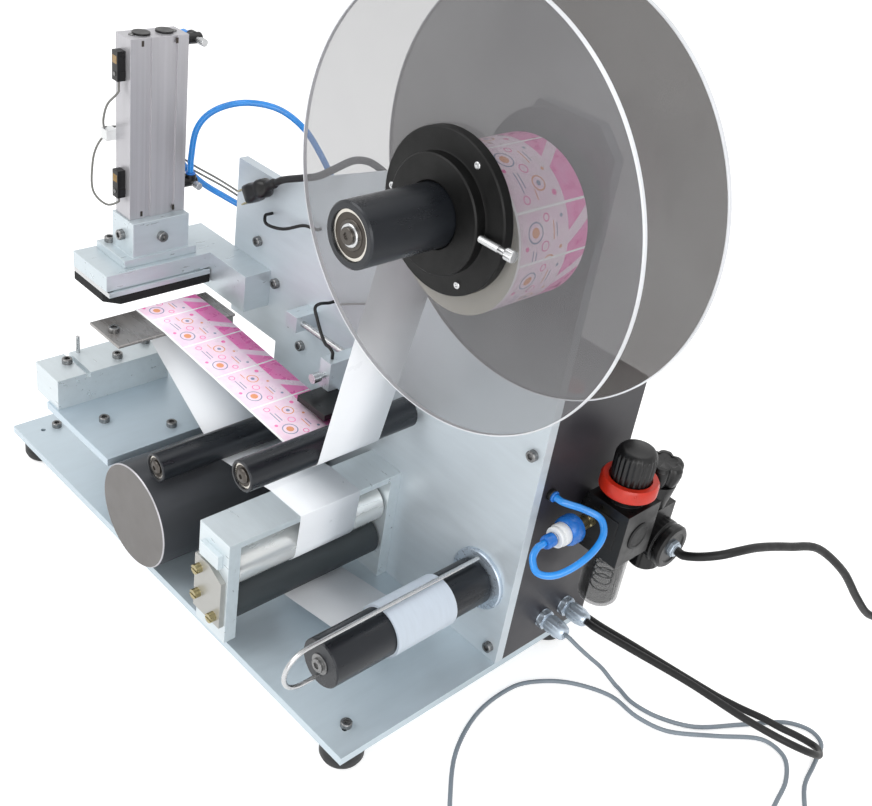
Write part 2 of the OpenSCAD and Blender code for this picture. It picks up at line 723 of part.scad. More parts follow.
// Heads of the fixed socket screws on base, table, block, plate and press head
module frame_screws() color([0.55, 0.56, 0.58]) placed() {
    for (p = base_screws) cap_screw([p[0], p[1], 0]);
    for (p = table_screws) cap_screw([p[0], p[1], table_z]);
    for (p = bar_screws) cap_screw([p[0], p[1], table_z + block_h]);
    cap_screw([peel_x0 + peel_w / 2, peel_y0 + screw_d, peel_z]);
    for (p = plate_screws) cap_screw_front([p[0], plate_y, p[1]]);
    cap_screw_front([cblock_x0 + cblock_w / 2, cblock_y0, arm_z + foot_plate_t + cblock_h / 2]);
    translate([cblock_x0 + cblock_w, cblock_y0 + cblock_len / 2, arm_z + foot_plate_t + cblock_h / 2])
        rotate([0, 90, 0]) cap_screw([0, 0, 0]);
    cap_screw([foot_plate_x0 + foot_screw_in, foot_plate_y0 + screw_d, arm_z + foot_plate_t]);
}
module gland(y, z) {
    rod_along_x(0, gland_hex_t, y, z, gland_hex_d, 6);
    rod_along_x(gland_hex_t, gland_len, y, z, gland_nut_d);
}
// Two cable glands and the collar round the stop button
module cable_glands() color([0.62, 0.66, 0.68]) placed() {
    gland(gland1_y, gland1_z);
    gland(gland2_y, gland2_z);
    translate([button_x, button_y, box_h]) difference() {
        cylinder(h = button_collar_h, d = button_collar_d);
        translate([0, 0, -over]) cylinder(h = button_collar_h + 2 * over, d = button_d);
    }
}
// The push-in fitting on the regulator's outlet and the collets where tubes enter the box
module air_fittings() color([0.15, 0.5, 0.85]) placed() {
    y_nut = reg_y - reg_w / 2;
    y_ring = y_nut - outlet_nut_len;
    y_cap = y_ring - outlet_ring_len;
    y_nose = y_cap - outlet_cap_len;
    rod_along_y(outlet_x, outlet_z, y_ring, y_nut, outlet_nut_d, 6);
    rod_along_y(outlet_x, outlet_z, y_cap, y_ring, outlet_ring_d);
    rod_along_y(outlet_x, outlet_z, y_nose, y_cap, outlet_cap_d);
    rod_along_y(outlet_x, outlet_z, y_nose - outlet_nose_len, y_nose, outlet_nose_d);
    a = tube_a[len(tube_a) - 1];
    b = tube_b[len(tube_b) - 1];
    c = tube_c[len(tube_c) - 1];
    translate([a[0], a[1], box_h]) cylinder(h = collet_len, d = collet_d);
    rod_along_x(-plate_low_len - collet_len, -plate_low_len, b[1], b[2], collet_d);
    rod_along_x(0, collet_len, c[1], c[2], collet_d);
}
module stop_button() color([0.8, 0.08, 0.06]) placed() {
    translate([button_x, button_y, box_h - button_well]) rotate_extrude()
        polygon([[0, 0], [button_d / 2 - run_gap, 0], [button_d / 2 - run_gap,
            button_h + button_well - button_bevel],
            [button_d / 2 - button_bevel, button_h + button_well], [0, button_h + button_well]]);
}
module reel_shaft() color([0.7, 0.7, 0.72]) placed() {
    rod_along_y(reel_x, reel_z, -sleeve_front, plate_y + plate_t, shaft_d);
    ring_along_y(reel_x, reel_z, plate_y - shaft_flange_t, plate_y, shaft_flange_d, shaft_d);
    ring_along_y(reel_x, reel_z, plate_y + plate_t, plate_y + plate_t + shaft_nut_t, shaft_nut_d, shaft_d);
    translate([reel_x, -sleeve_front, reel_z]) rotate([90, 0, 0]) difference() {
        cylinder(h = nose_screw_h, d = nose_screw_d);
        translate([0, 0, nose_screw_h / 2]) cylinder(h = nose_screw_h, d = screw_hex_d, $fn = 6);
    }
}
module bearing(x, z, y0, w, od, id) ring_along_y(x, z, y0, y0 + w, od, id);
module ball_bearings() color([0.68, 0.66, 0.6]) placed() {
    for (y = [-sleeve_front + bearing_recess, sleeve_end_y - bearing_recess - big_bearing_w])
        bearing(reel_x, reel_z, y, big_bearing_w, big_bearing_d, shaft_d);
    for (c = [[idler1_x, idler1_z], [idler2_x, idler2_z]])
        for (y = [roller_front_y + bearing_recess, roller_end_y - bearing_recess - bearing_w])
            bearing(c[0], c[1], y, bearing_w, bearing_d, axle_d);
    for (y = [drum_web_y, roller_end_y - drum_web_t])
        bearing(drum_x, drum_z, y, drum_bearing_w, drum_bearing_d, drum_axle_d);
}
module reel_sleeve() color([0.09, 0.09, 0.1]) placed()
    ring_along_y(reel_x, reel_z, -sleeve_front, sleeve_end_y, sleeve_d, sleeve_bore);
module rear_flange() color([0.08, 0.08, 0.09]) placed() {
    y0 = rear_disc_y + disc_t;
    ring_along_y(reel_x, reel_z, y0, y0 + flange_t, flange_d, sleeve_d + 2 * run_gap);
    ring_along_y(reel_x, reel_z, y0 + flange_t, y0 + rear_collar_len, collar_d, sleeve_d + 2 * run_gap);
}
module rear_disc() color([0.85, 0.87, 0.88, 0.45]) placed()
    translate([reel_x, rear_disc_y, reel_z]) rotate([-90, 0, 0]) difference() {
        cylinder(h = disc_t, d = disc_d, $fn = 96);
        translate([0, 0, -over]) cylinder(h = disc_t + 2 * over, d = sleeve_d);
    }
module front_disc() color([0.85, 0.87, 0.88, 0.45]) placed()
    translate([reel_x, front_disc_y, reel_z]) rotate([-90, 0, 0]) difference() {
        cylinder(h = disc_t, d = disc_d, $fn = 96);
        translate([0, 0, -over]) cylinder(h = disc_t + 2 * over, d = sleeve_d + 2 * run_gap);
    }
module front_flange() color([0.08, 0.08, 0.09]) placed() {
    difference() {
        union() {
            rod_along_y(reel_x, reel_z, flange_y, front_disc_y, flange_d);
            rod_along_y(reel_x, reel_z, flange_y - collar_len, flange_y + over, collar_d);
        }
        rod_along_y(reel_x, reel_z, flange_y - collar_len - over, front_disc_y + over,
            sleeve_d + 2 * run_gap);
        rod_along_x(reel_x, reel_x + collar_d, clamp_y, reel_z, clamp_d + 2 * run_gap);
    }
    for (a = [60, 180, 300])
        translate([reel_x + flange_screw_r * cos(a), flange_y, reel_z + flange_screw_r * sin(a)])
            rotate([90, 0, 0]) cylinder(h = flange_screw_h, d = flange_screw_d, $fn = ring_fn);
}
module clamp_screw() color([0.75, 0.75, 0.77]) placed() {
    rod_along_x(reel_x + sleeve_d / 2 + soft_gap, reel_x + sleeve_d / 2 + clamp_len, clamp_y, reel_z,
        clamp_d);
    rod_along_x(reel_x + sleeve_d / 2 + clamp_len, reel_x + sleeve_d / 2 + clamp_len + clamp_knob_len,
        clamp_y,
        reel_z, clamp_knob_d);
}
module label_roll() color([0.95, 0.5, 0.68]) placed() {
    ring_along_y(reel_x, roll_z, web_y, web_y + web_w, core_bore + 2 * core_wall, core_bore);
    ring_along_y(reel_x, roll_z, web_y, web_y + web_w, roll_d, core_bore + 2 * core_wall);
}
module label_web() color([0.96, 0.62, 0.76]) placed()
    slab_xz(web_y, web_w, ribbon(thin(label_path, web_t / 4), web_t));
module liner_web() color([0.93, 0.94, 0.95]) placed()
    slab_xz(web_y, web_w, ribbon(thin(liner_cut, web_t / 4), web_t));
module roller_axles() color([0.66, 0.66, 0.68]) placed() {
    for (c = [[idler1_x, idler1_z], [idler2_x, idler2_z]]) {
        rod_along_y(c[0], c[1], roller_front_y + bearing_recess, plate_y + plate_t, axle_d);
        ring_along_y(c[0], c[1], roller_end_y - bearing_recess, plate_y, axle_collar_d, axle_d);
        rod_along_y(c[0], c[1], roller_front_y + bearing_recess - end_screw_h,
            roller_front_y + bearing_recess,
            end_screw_d);
    }
    rod_along_y(drum_x, drum_z, drum_web_y - over, plate_y + plate_t, drum_axle_d);
    ring_along_y(drum_x, drum_z, roller_end_y + soft_gap, plate_y, drum_collar_d, drum_axle_d);
}
module idler(x, z) ring_along_y(x, z, roller_front_y, roller_end_y, idler_d, bearing_d + 2 * run_gap);
module idler_1() color([0.1, 0.1, 0.11]) placed() idler(idler1_x, idler1_z);
module idler_2() color([0.1, 0.1, 0.11]) placed() idler(idler2_x, idler2_z);
module drum() color([0.2, 0.2, 0.21]) placed() {
    difference() {
        rod_along_y(drum_x, drum_z, drum_front_y, roller_end_y, drum_d);
        rod_along_y(drum_x, drum_z, drum_front_y + drum_cap_t, drum_web_y, drum_d - 2 * drum_wall);
        rod_along_y(drum_x, drum_z, drum_web_y + drum_web_t, roller_end_y - drum_web_t,
            drum_d - 2 * drum_wall);
        rod_along_y(drum_x, drum_z, drum_web_y - over, roller_end_y + over, drum_bearing_d + 2 * run_gap);
    }
}
// Top plate, near end plate and far end plate of the nip housing
module nip_frame() color([0.72, 0.76, 0.8]) placed() {
    w = nip_x1 - nip_x0;
    plate_top = nip_top_z - nip_top_t;
    block_at([nip_x0, nip_front_y, plate_top], [w, plate_y - nip_front_y, nip_top_t]);
    for (s = [[nip_front_y, nip_side_t, nip_foot_z], [plate_y - nip_far_t, nip_far_t, 0]]) difference() {
        block_at([nip_x0, s[0], s[2]], [w, s[1], plate_top - s[2]]);
        for (z = [press_z, drive_z])
            rod_along_y(roller_x, z, s[0] - over, s[0] + s[1] + over, roller_shaft_d + 2 * run_gap);
    }
}
// The cover with its brass screws, and the bearing block above it
module nip_cover() {
    color([0.6, 0.68, 0.74]) placed()
        block_at([roller_x - bearing_block_w / 2, nip_front_y - nip_cover_t, press_z + block_rise],
            [bearing_block_w, nip_cover_t, bearing_block_h]);
    color([0.85, 0.83, 0.74]) placed() difference() {
        slab_xz(nip_front_y - nip_cover_t, nip_cover_t, [[roller_x - cover_w / 2, cover_low_z],
            [roller_x + cover_w / 2, cover_low_z], [roller_x + cover_w / 2, cover_high_z - cover_cut],
            [roller_x + cover_w / 2 - cover_cut, cover_high_z - cover_cut / 2],
            [roller_x - cover_w / 2, cover_high_z - cover_cut / 2]]);
    }
    color([0.8, 0.66, 0.35]) placed()
        for (p = brass_shares)
            translate([roller_x + p[0] * cover_w, nip_front_y - nip_cover_t,
                cover_low_z + p[1] * (cover_high_z - cover_low_z)]) rotate([90, 0, 0]) difference() {
                cylinder(h = brass_h, d = brass_d, $fn = ring_fn);
                translate([-brass_d, -brass_slot_w / 2, brass_h - brass_slot_h])
                    cube([2 * brass_d, brass_slot_w, brass_slot_h + over]);
            }
}
roller_y0 = nip_front_y + nip_side_t + nip_roller_gap;
roller_y1 = plate_y - nip_far_t - nip_roller_gap;
module press_roller() color([0.88, 0.88, 0.86]) placed() {
    rod_along_y(roller_x, press_z, roller_y0, roller_y1, press_roller_d);
    rod_along_y(roller_x, press_z, nip_front_y + soft_gap, plate_y - soft_gap, roller_shaft_d);
}
module drive_roller() color([0.08, 0.08, 0.09]) placed() {
    rod_along_y(roller_x, drive_z, roller_y0, roller_y1, drive_roller_d);
    rod_along_y(roller_x, drive_z, nip_front_y + soft_gap, pulley_y0, roller_shaft_d);
    ring_along_y(roller_x, drive_z, pulley_y0, pulley_y0 + pulley_w, drive_pulley_d, roller_shaft_d / 2);
    rod_along_y(roller_x, drive_z, pulley_y0, pulley_y0 + pulley_w + over, roller_shaft_d / 2);
}
function clip_p(r) = [waste_x + r * cos(clip_angle), waste_z + r * sin(clip_angle)];
module waste_roller() color([0.09, 0.09, 0.1]) placed() {
    y1 = plate_y - waste_flange_t - waste_end_gap;
    difference() {
        rod_along_y(waste_x, waste_z, waste_front_y, y1, waste_d);
        translate([clip_p(-clip_in_r)[0], waste_front_y - over, clip_p(-clip_in_r)[1]]) rotate([-90, 0, 0])
            cylinder(h = clip_in_y + 2 * over, d = clip_d + 2 * clip_gap, $fn = ring_fn);
    }
    rod_along_y(waste_x, waste_z, y1, plate_y + plate_t, waste_shaft_d);
    rod_along_y(waste_x, waste_z, waste_front_y - waste_screw_h, waste_front_y, waste_screw_d);
}
module waste_flange() color([0.7, 0.72, 0.74]) placed()
    ring_along_y(waste_x, waste_z, plate_y - waste_flange_t, plate_y, waste_flange_d,
        waste_shaft_d + 2 * clip_gap);
module waste_paper() color([0.93, 0.93, 0.94]) placed()
    ring_along_y(waste_x, waste_z, web_y, web_y + web_w, waste_paper_d, waste_d);
// A bent wire: an outer leg over the paper, a bend before the roller and an inner leg in its bore
bend_steps = 18;
bend_mid = (clip_out_r - clip_in_r) / 2;
bend_r = (clip_out_r + clip_in_r) / 2;
clip_path = concat([[clip_p(clip_out_r)[0], clip_far_y, clip_p(clip_out_r)[1]]],
    [for (i = [0:bend_steps]) let (a = 180 * i / bend_steps, q = clip_p(bend_mid + bend_r * cos(a)))
        [q[0], clip_near_y - bend_r * sin(a), q[1]]],
    [[clip_p(-clip_in_r)[0], clip_in_y, clip_p(-clip_in_r)[1]]]);
module waste_clip() color([0.78, 0.78, 0.78]) placed() sweep(clip_path, clip_d / 2, 16);
module peel_table() color([0.66, 0.73, 0.78]) placed() {
    block_at([table_x0, table_front_y, table_z - table_t], [table_len, plate_y - table_front_y, table_t]);
    block_at([table_x0 + post_gap, post_y0, 0], [post_w, post_y1 - post_y0, table_z - table_t]);
}
module peel_block() color([0.72, 0.77, 0.78]) placed() {
    difference() {
        block_at([bar_x0, bar_y0, table_z], [bar_w, bar_len, block_h]);
        block_at([bar_x0 - over, bar_y0 + slot_y, table_z + block_h - slot_w],
            [bar_w + 2 * over, slot_w, slot_w + over]);
    }
    translate([bar_x0 + stop_rod_d, bar_y0 + bar_w, table_z + block_h]) cylinder(h = stop_rod_h,
        d = stop_rod_d);
}
// The peel plate and the angle that carries it from the table
module peel_plate() color([0.3, 0.28, 0.28]) placed() {
    slab_xz(peel_y0, peel_y1 - peel_y0, concat(
        [for (a = [90:15:270]) nose_c + peel_t / 2 * [cos(a), sin(a)]],
        [for (a = [-90:15:90]) lip_c + peel_t / 2 * [cos(a), sin(a)]]));
    block_at([peel_x0 + peel_t, holder_y0, table_z], [peel_w - 2 * peel_t, holder_t,
        peel_z - peel_t - table_z]);
}
module press_arm() color([0.7, 0.76, 0.8]) placed() difference() {
    union() {
        block_at([parm_x0, parm_y0, arm_z - arm_t], [parm_w, plate_y - parm_y0, arm_t]);
        block_at([bracket_x0, bracket_y0, arm_z - arm_t - bracket_h], [bracket_w, plate_y - bracket_y0,
            bracket_h]);
        block_at([bracket_x0, bracket_y0, arm_z - arm_t], [bracket_w, plate_y - bracket_y0, arm_t]);
    }
    translate([rod_x, rod_y, arm_z - arm_t - over]) cylinder(h = arm_t + 2 * over, d = rod_d + 2 * rod_gap);
}
module cylinder_block() color([0.8, 0.83, 0.84]) placed() {
    difference() {
        union() {
            block_at([foot_plate_x0, foot_plate_y0, arm_z], [foot_plate_w, foot_plate_len, foot_plate_t]);
            block_at([cblock_x0, cblock_y0, arm_z + foot_plate_t], [cblock_w, cblock_len, cblock_h]);
        }
        translate([rod_x, rod_y, arm_z - over])
            cylinder(h = foot_plate_t + cblock_h + 2 * over, d = rod_d + 2 * rod_gap);
    }
}
module cylinder_body() color([0.6, 0.61, 0.63]) placed() {
    x0 = cyl_x1 - cyl_x;
    difference() {
        block_at([x0, cyl_y0, cyl_z0], [cyl_x, cyl_y, cyl_len]);
        for (k = groove_shares)
            block_at([cyl_x1 - groove_h, cyl_y0 + k * cyl_y, cyl_z0 - over],
                [groove_h + over, groove_w, cyl_len + 2 * over]);
        translate([rod_x, rod_y, cyl_z0 - over]) cylinder(h = cyl_len * bore_share, d = piston_d);
    }
    for (k = [-cap_share, cap_share])
        translate([rod_x, rod_y + k * cyl_y, cyl_top_z]) cylinder(h = cap_plug_h, d = cap_plug_d);
}
pad_top = arm_z - arm_t - pad_gap;
module press_rod() color([0.8, 0.8, 0.82]) placed() {
    rod_z0 = pad_top - pad_plate_t;
    rod_z1 = cyl_z0 + cyl_len * piston_share;
    translate([rod_x, rod_y, rod_z0]) cylinder(h = rod_z1 - rod_z0, d = rod_d);
    block_at([pad_x0, pad_y0, pad_top - pad_plate_t], [pad_w, pad_len, pad_plate_t]);
    translate([rod_x, rod_y, rod_z1]) cylinder(h = piston_h, d = piston_d - 2 * run_gap);
}
module press_pad() color([0.06, 0.06, 0.06]) placed()
    translate([0, 0, pad_top - pad_plate_t - pad_t]) linear_extrude(height = pad_t) polygon([[pad_x0,
        pad_y0],
        [pad_x0 + pad_w - pad_chamfer, pad_y0], [pad_x0 + pad_w, pad_y0 + pad_chamfer],
        [pad_x0 + pad_w, pad_y0 + pad_len], [pad_x0, pad_y0 + pad_len]]);
// Two reed switches and the two elbow fittings with their knobs
module cylinder_fittings() color([0.06, 0.06, 0.07]) placed() {
    for (z = [reed_low_z, reed_high_z])
        block_at([rod_x - reed_w / 2, cyl_y0 - reed_t, z], [reed_w, reed_t, reed_len]);
    for (z = [fit_low_z, fit_high_z]) {
        rod_along_y(rod_x, z, cyl_y0 + cyl_y, elbow_y + elbow_end, fitting_d);
        rod_along_x(rod_x + adjust_y0, rod_x + adjust_y1, elbow_y, z, knob_d);
    }
    translate([rod_x, elbow_y, fit_low_z]) cylinder(h = elbow_reach, d = elbow_socket_d);
    rod_along_x(rod_x - elbow_reach, rod_x, elbow_y, fit_high_z, elbow_socket_d);
}
module blue_tubes() color([0.1, 0.45, 0.85]) placed() {
    sweep(smooth(tube_a, 2), tube_d / 2, 10);
    sweep(smooth(tube_b, 2), tube_d / 2, 10);
    sweep(smooth(tube_c, 3), tube_d / 2, 10);
}
module signal_leads() {
    color([0.08, 0.08, 0.08]) placed() sweep(smooth(head_lead, 2), lead_d / 2, 8);
    color([0.08, 0.08, 0.08]) placed() sweep(smooth(plate_lead, 2), lead_d / 2, 8);
    color([0.5, 0.5, 0.48]) placed() sweep(smooth(reed_a, 2), thin_d / 2, 8);
    color([0.5, 0.5, 0.48]) placed() sweep(smooth(reed_b, 2), thin_d / 2, 8);
    color([0.5, 0.5, 0.48]) placed() sweep(smooth(side_lead, 2), thin_d / 2, 8);
}
module sensor_rods() color([0.8, 0.81, 0.82]) placed() {
    rod_along_x(guide_x0, guide_x1, guide_y, guide_z, guide_d);
    for (x = [guide_x0]) difference() {
        block_at([x, guide_y - guide_block_w / 2, guide_z - guide_block_w / 2],
            [guide_block_w, plate_y - guide_y + guide_block_w / 2, guide_block_w]);
        rod_along_x(x - over, x + guide_block_w + over, guide_y, guide_z, guide_d);
    }
}
module sensor_bracket() color([0.75, 0.79, 0.8]) placed() {
    difference() {
        union() {
            block_at([carriage_x0, carriage_y0, head_z1],
                [carriage_w, carriage_y1 - carriage_y0, carriage_z1 - head_z1]);
            block_at([carriage_x0, head_y1, carriage_z0],
                [carriage_w, carriage_y1 - head_y1, carriage_z1 - carriage_z0]);
        }
        rod_along_x(carriage_x0 - over, carriage_x0 + carriage_w + over, guide_y, guide_z,
            guide_d + 2 * run_gap);
    }
    translate([carriage_x0 + carriage_w / 2, carriage_y0, (head_z1 + carriage_z1) / 2]) rotate([90, 0, 0]) {
        cylinder(h = thumb_stem_len, d = thumb_stem_d);
        translate([0, 0, thumb_stem_len]) cylinder(h = thumb_h, d = thumb_d);
    }
}
module label_sensor() color([0.07, 0.07, 0.07]) placed() {
    slot_z = (label_slot_z(head_x0) + label_slot_z(head_x0 + head_w)) / 2 - head_slot_h / 2;
    difference() {
        block_at([head_x0, head_y0, head_z0], [head_w, head_y1 - head_y0, head_z1 - head_z0]);
        block_at([head_x0 - over, head_y0 - over, slot_z],
            [head_w + 2 * over, head_slot_y1 - head_y0 + over, head_slot_h]);
    }
}
function label_slot_z(x) = let (a = [idler2_x, idler2_z - idler_d / 2 - half_web],
    b = [lip_c[0], peel_z + half_web]) a[1] + (b[1] - a[1]) * (x - a[0]) / (b[0] - a[0]);
module filter_regulator() color([0.07, 0.07, 0.07]) placed() {
    block_at([reg_x - reg_w / 2, reg_y - reg_w / 2, reg_z0], [reg_w, reg_w, reg_h]);
    translate([reg_x, reg_y, reg_z0 + reg_h]) cylinder(h = reg_neck_h, d = reg_neck_d);
    rod_along_x(0, reg_x - reg_w / 2, reg_y, reg_z0 + reg_h / 2, boss_d);
}
module regulator_knob() {
    z0 = reg_z0 + reg_h + reg_neck_h;
    color([0.85, 0.22, 0.06]) placed() translate([reg_x, reg_y, z0 + seat_gap]) difference() {
        cylinder(h = ring_h - seat_gap, d = lock_ring_d);
        translate([0, 0, ring_h / 2]) cylinder(h = ring_h, d = reg_knob_d);
    }
    color([0.05, 0.05, 0.06]) placed() translate([reg_x, reg_y, z0 + ring_h / 2 + seat_gap]) {
        cylinder(h = knob_h - ring_h / 2, d = reg_knob_d - rib_d);
        for (i = [0:knob_ribs - 1])
            rotate([0, 0, 360 * i / knob_ribs]) translate([(reg_knob_d - rib_d) / 2, 0, ring_h])
                cylinder(h = knob_h - ring_h * rib_low_share, d = rib_tip_d, $fn = 6);
    }
}
module inlet_valve() color([0.06, 0.06, 0.07]) placed() {
    block_at([reg_x - valve_w / 2, valve_y0, valve_z0], [valve_w, valve_len, valve_h]);
    translate([reg_x, valve_y0 + valve_stem_in, valve_z0 + valve_h])
        cylinder(h = valve_neck_h, d1 = valve_neck_d, d2 = valve_neck_top_d);
    rod_along_x(cap_x0, cap_x0 + cap_len, cap_y, cap_z, cap_d);
    rod_along_x(cap_x0 + cap_len, cap_x0 + cap_len + cap_nose, cap_y, cap_z, cap_nose_d);
    translate([reg_x + drain_out, valve_y0 + valve_stem_in, valve_z0 - drain_len]) {
        cylinder(h = drain_round, d1 = drain_d - 2 * drain_round, d2 = drain_d);
        translate([0, 0, drain_round]) cylinder(h = drain_len - drain_round + over, d = drain_d);
    }
}
module valve_knob() color([0.05, 0.05, 0.05]) placed()
    translate([reg_x, valve_y0 + valve_stem_in, valve_z0 + valve_h + valve_neck_h + seat_gap]) difference() {
        cylinder(h = valve_knob_h, d = valve_knob_d);
        for (i = [0:lobes - 1])
            rotate([0, 0, 360 * i / lobes]) translate([valve_knob_d / 2 + lobe_out, 0, -over])
                cylinder(h = valve_knob_h + 2 * over, d = lobe_d, $fn = ring_fn);
    }
module bowl() color([0.8, 0.84, 0.86, 0.5]) placed() translate([reg_x, reg_y, reg_z0 - bowl_len])
    rotate_extrude()
    polygon([[0, 0], [bowl_d * bowl_foot_share, 0], [bowl_d / 2, bowl_d * bowl_round_share], [bowl_d / 2,
        bowl_len],
        [bowl_d / 2 - bowl_wall, bowl_len], [bowl_d / 2 - bowl_wall, bowl_d * bowl_round_share + bowl_wall],
        [bowl_d * bowl_foot_share - bowl_wall, bowl_wall], [0, bowl_wall]]);
function spring_path() = [for (i = [0:spring_turns * spring_steps])
    let (a = 360 * i / spring_steps,
        z = reg_z0 - spring_wire / 2 - spring_len * i / (spring_turns * spring_steps))
    [reg_x + spring_r * cos(a), reg_y + spring_r * sin(a), z]];
module bowl_spring() color([0.75, 0.75, 0.75]) placed() sweep(spring_path(), spring_wire / 2, 6);
// Motor, belt, power supply and air valve inside the control box
module box_units() color([0.4, 0.42, 0.44]) placed() {
    back_y = plate_y + plate_t + box_depth - box_wall;
    rod_along_y(motor_x, motor_z, motor_y0, back_y, motor_d);
    block_at([psu_x0, psu_y0, 0], psu);
    block_at([air_valve_x0, back_y - air_valve[1], air_valve_z0], air_valve);
}
module motor_pulley() color([0.7, 0.7, 0.7]) placed() {
    rod_along_y(motor_x, motor_z, pulley_y0, pulley_y0 + pulley_w, motor_pulley_d);
    rod_along_y(motor_x, motor_z, pulley_y0 + pulley_w, motor_y0 - soft_gap, motor_shaft_d);
}
belt_gap = 0.3;
module belt_loop(more) hull() {
    translate([roller_x, drive_z]) circle(d = drive_pulley_d + more, $fn = 64);
    translate([motor_x, motor_z]) circle(d = motor_pulley_d + more, $fn = 64);
}
module drive_belt() color([0.05, 0.05, 0.05]) placed() {
    translate([0, pulley_y0 + pulley_w / 2 + belt_w / 2, 0]) rotate([90, 0, 0])
        linear_extrude(height = belt_w) difference() {
            belt_loop(2 * belt_gap + 2 * belt_t);
            belt_loop(2 * belt_gap);
        }
}
module mains_cord() color([0.04, 0.04, 0.04]) placed() sweep(mains_route, mains_d / 2, 8);
plug_len = 44;
plug_h = 18;
prong_len = 17;
prong_w = 6.4;
prong_t = 1.6;
prong_gap = 12.7;
plug_slope = 35;
relief_len = 14;
relief_d = 9.8;
module mains_plug() {
    p = mains_pts[len(mains_pts) - 1];
    translate([shift_x, shift_y, shift_z]) translate(p) rotate([0, 180 - plug_slope, 0]) rotate([90, 0, 0]) {
        color([0.04, 0.04, 0.04]) {
            rotate([0, 90, 0]) cylinder(h = relief_len, d = relief_d);
            block_at([relief_len, -plug_h / 2, -plug_h / 2], [plug_len - relief_len, plug_h, plug_h]);
        }
        color([0.8, 0.78, 0.7]) for (s = [-1, 1])
            block_at([plug_len, s * prong_gap / 2 - prong_t / 2, -prong_w / 2], [prong_len, prong_t,
                prong_w]);
    }
}
module cable_run() color([0.48, 0.52, 0.56]) placed() sweep(cable_route, cable_d / 2, 8);
// The tail of a coil leaves it straight and carries the piece on its end, which lies on the floor
function coil_line(pts, d, r, n, tail, end_r) =
    let (e = pts[len(pts) - 1], lead = unit(e - pts[len(pts) - 2]), a = atan2(lead[1], lead[0]) + 90,
        c = [e[0], e[1], floor_z] - r * [cos(a), sin(a), 0], p = coil_path(c, d, r, n, a, -1),
            q = p[len(p) - 1])
    concat([e], [for (v = p) v + lead * d],
        [[q[0], q[1], floor_z + end_r] + lead * (d + tail), [q[0], q[1],
            floor_z + end_r] + lead * (d + tail + d)]);
module end_piece(line, len1, d1, len2, d2) {
    n = len(line);
    t = line[n - 1] - line[n - 2];
    translate(line[n - 1]) rotate([0, 90, atan2(t[1], t[0])]) {
        translate([0, 0, seat_gap]) cylinder(h = len1, d = d1);
        translate([0, 0, seat_gap + len1]) cylinder(h = len2, d = d2);
    }
}
cable_coil_line = coil_line(cable_pts, cable_d, cable_coil_r, cable_coil_n, cable_tail, cable_end_d / 2);
module cable_coil() color([0.48, 0.52, 0.56]) placed() {
    sweep(cable_coil_line, cable_d / 2, loop_sides);
    end_piece(cable_coil_line, cable_boot_len, cable_boot_d, cable_end_len, cable_end_d);
}
module hose_run() color([0.04, 0.04, 0.04]) placed() sweep(hose_route, hose_d / 2, 10);
hose_coil_line = coil_line(hose_pts, hose_d, hose_coil_r, hose_coil_n, hose_tail, hose_end_d / 2);
module hose_coil() color([0.04, 0.04, 0.04]) placed() {
    sweep(hose_coil_line, hose_d / 2, loop_sides);
    end_piece(hose_coil_line, hose_nut_len, hose_end_d, hose_nose_len, hose_nose_d);
}
echo(mains_mm = path_len(mains_route), cable_mm = path_len(cable_route), hose_mm = path_len(hose_route));
echo(cable_coil_mm = path_len(cable_coil_line), cable_gap = self_gap(cable_coil_line, cable_d));
echo(hose_coil_mm = path_len(hose_coil_line), hose_gap = self_gap(hose_coil_line, hose_d));
echo(label_mm = path_len(label_path), liner_mm = path_len(liner_cut));
echo(spring_gap = spring_len / spring_turns - spring_wire);

base_plate();
rubber_feet();
side_plate();
control_box();
frame_screws();
cable_glands();
air_fittings();
stop_button();
reel_shaft();
ball_bearings();
reel_sleeve();
rear_flange();
rear_disc();
front_disc();
front_flange();
clamp_screw();
label_roll();
label_web();
liner_web();
roller_axles();
idler_1();
idler_2();
drum();
nip_frame();
nip_cover();
press_roller();
drive_roller();
waste_roller();
waste_flange();
waste_paper();
waste_clip();
peel_table();
peel_block();
peel_plate();
press_arm();
cylinder_block();
cylinder_body();
press_rod();
press_pad();
cylinder_fittings();
blue_tubes();
signal_leads();
sensor_rods();
sensor_bracket();
label_sensor();
filter_regulator();
regulator_knob();
inlet_valve();
valve_knob();
bowl();
bowl_spring();
box_units();
motor_pulley();
drive_belt();
mains_cord();
mains_plug();
cable_run();
cable_coil();
hose_run();
hose_coil();
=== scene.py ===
"""The looks of the flat surface labeling machine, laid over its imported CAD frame.

Sizes are millimetres, measured from the right front top corner of the base plate, with X to the
right, Y to the back and Z up, as in the part's own source. Each form turns them into metres.
"""
import cmath
import json
from math import asin, atan2, ceil, copysign, cos, degrees, exp, pi, radians, sin

import bmesh
import bpy
from mathutils import Matrix, Vector
from mathutils.geometry import interpolate_bezier


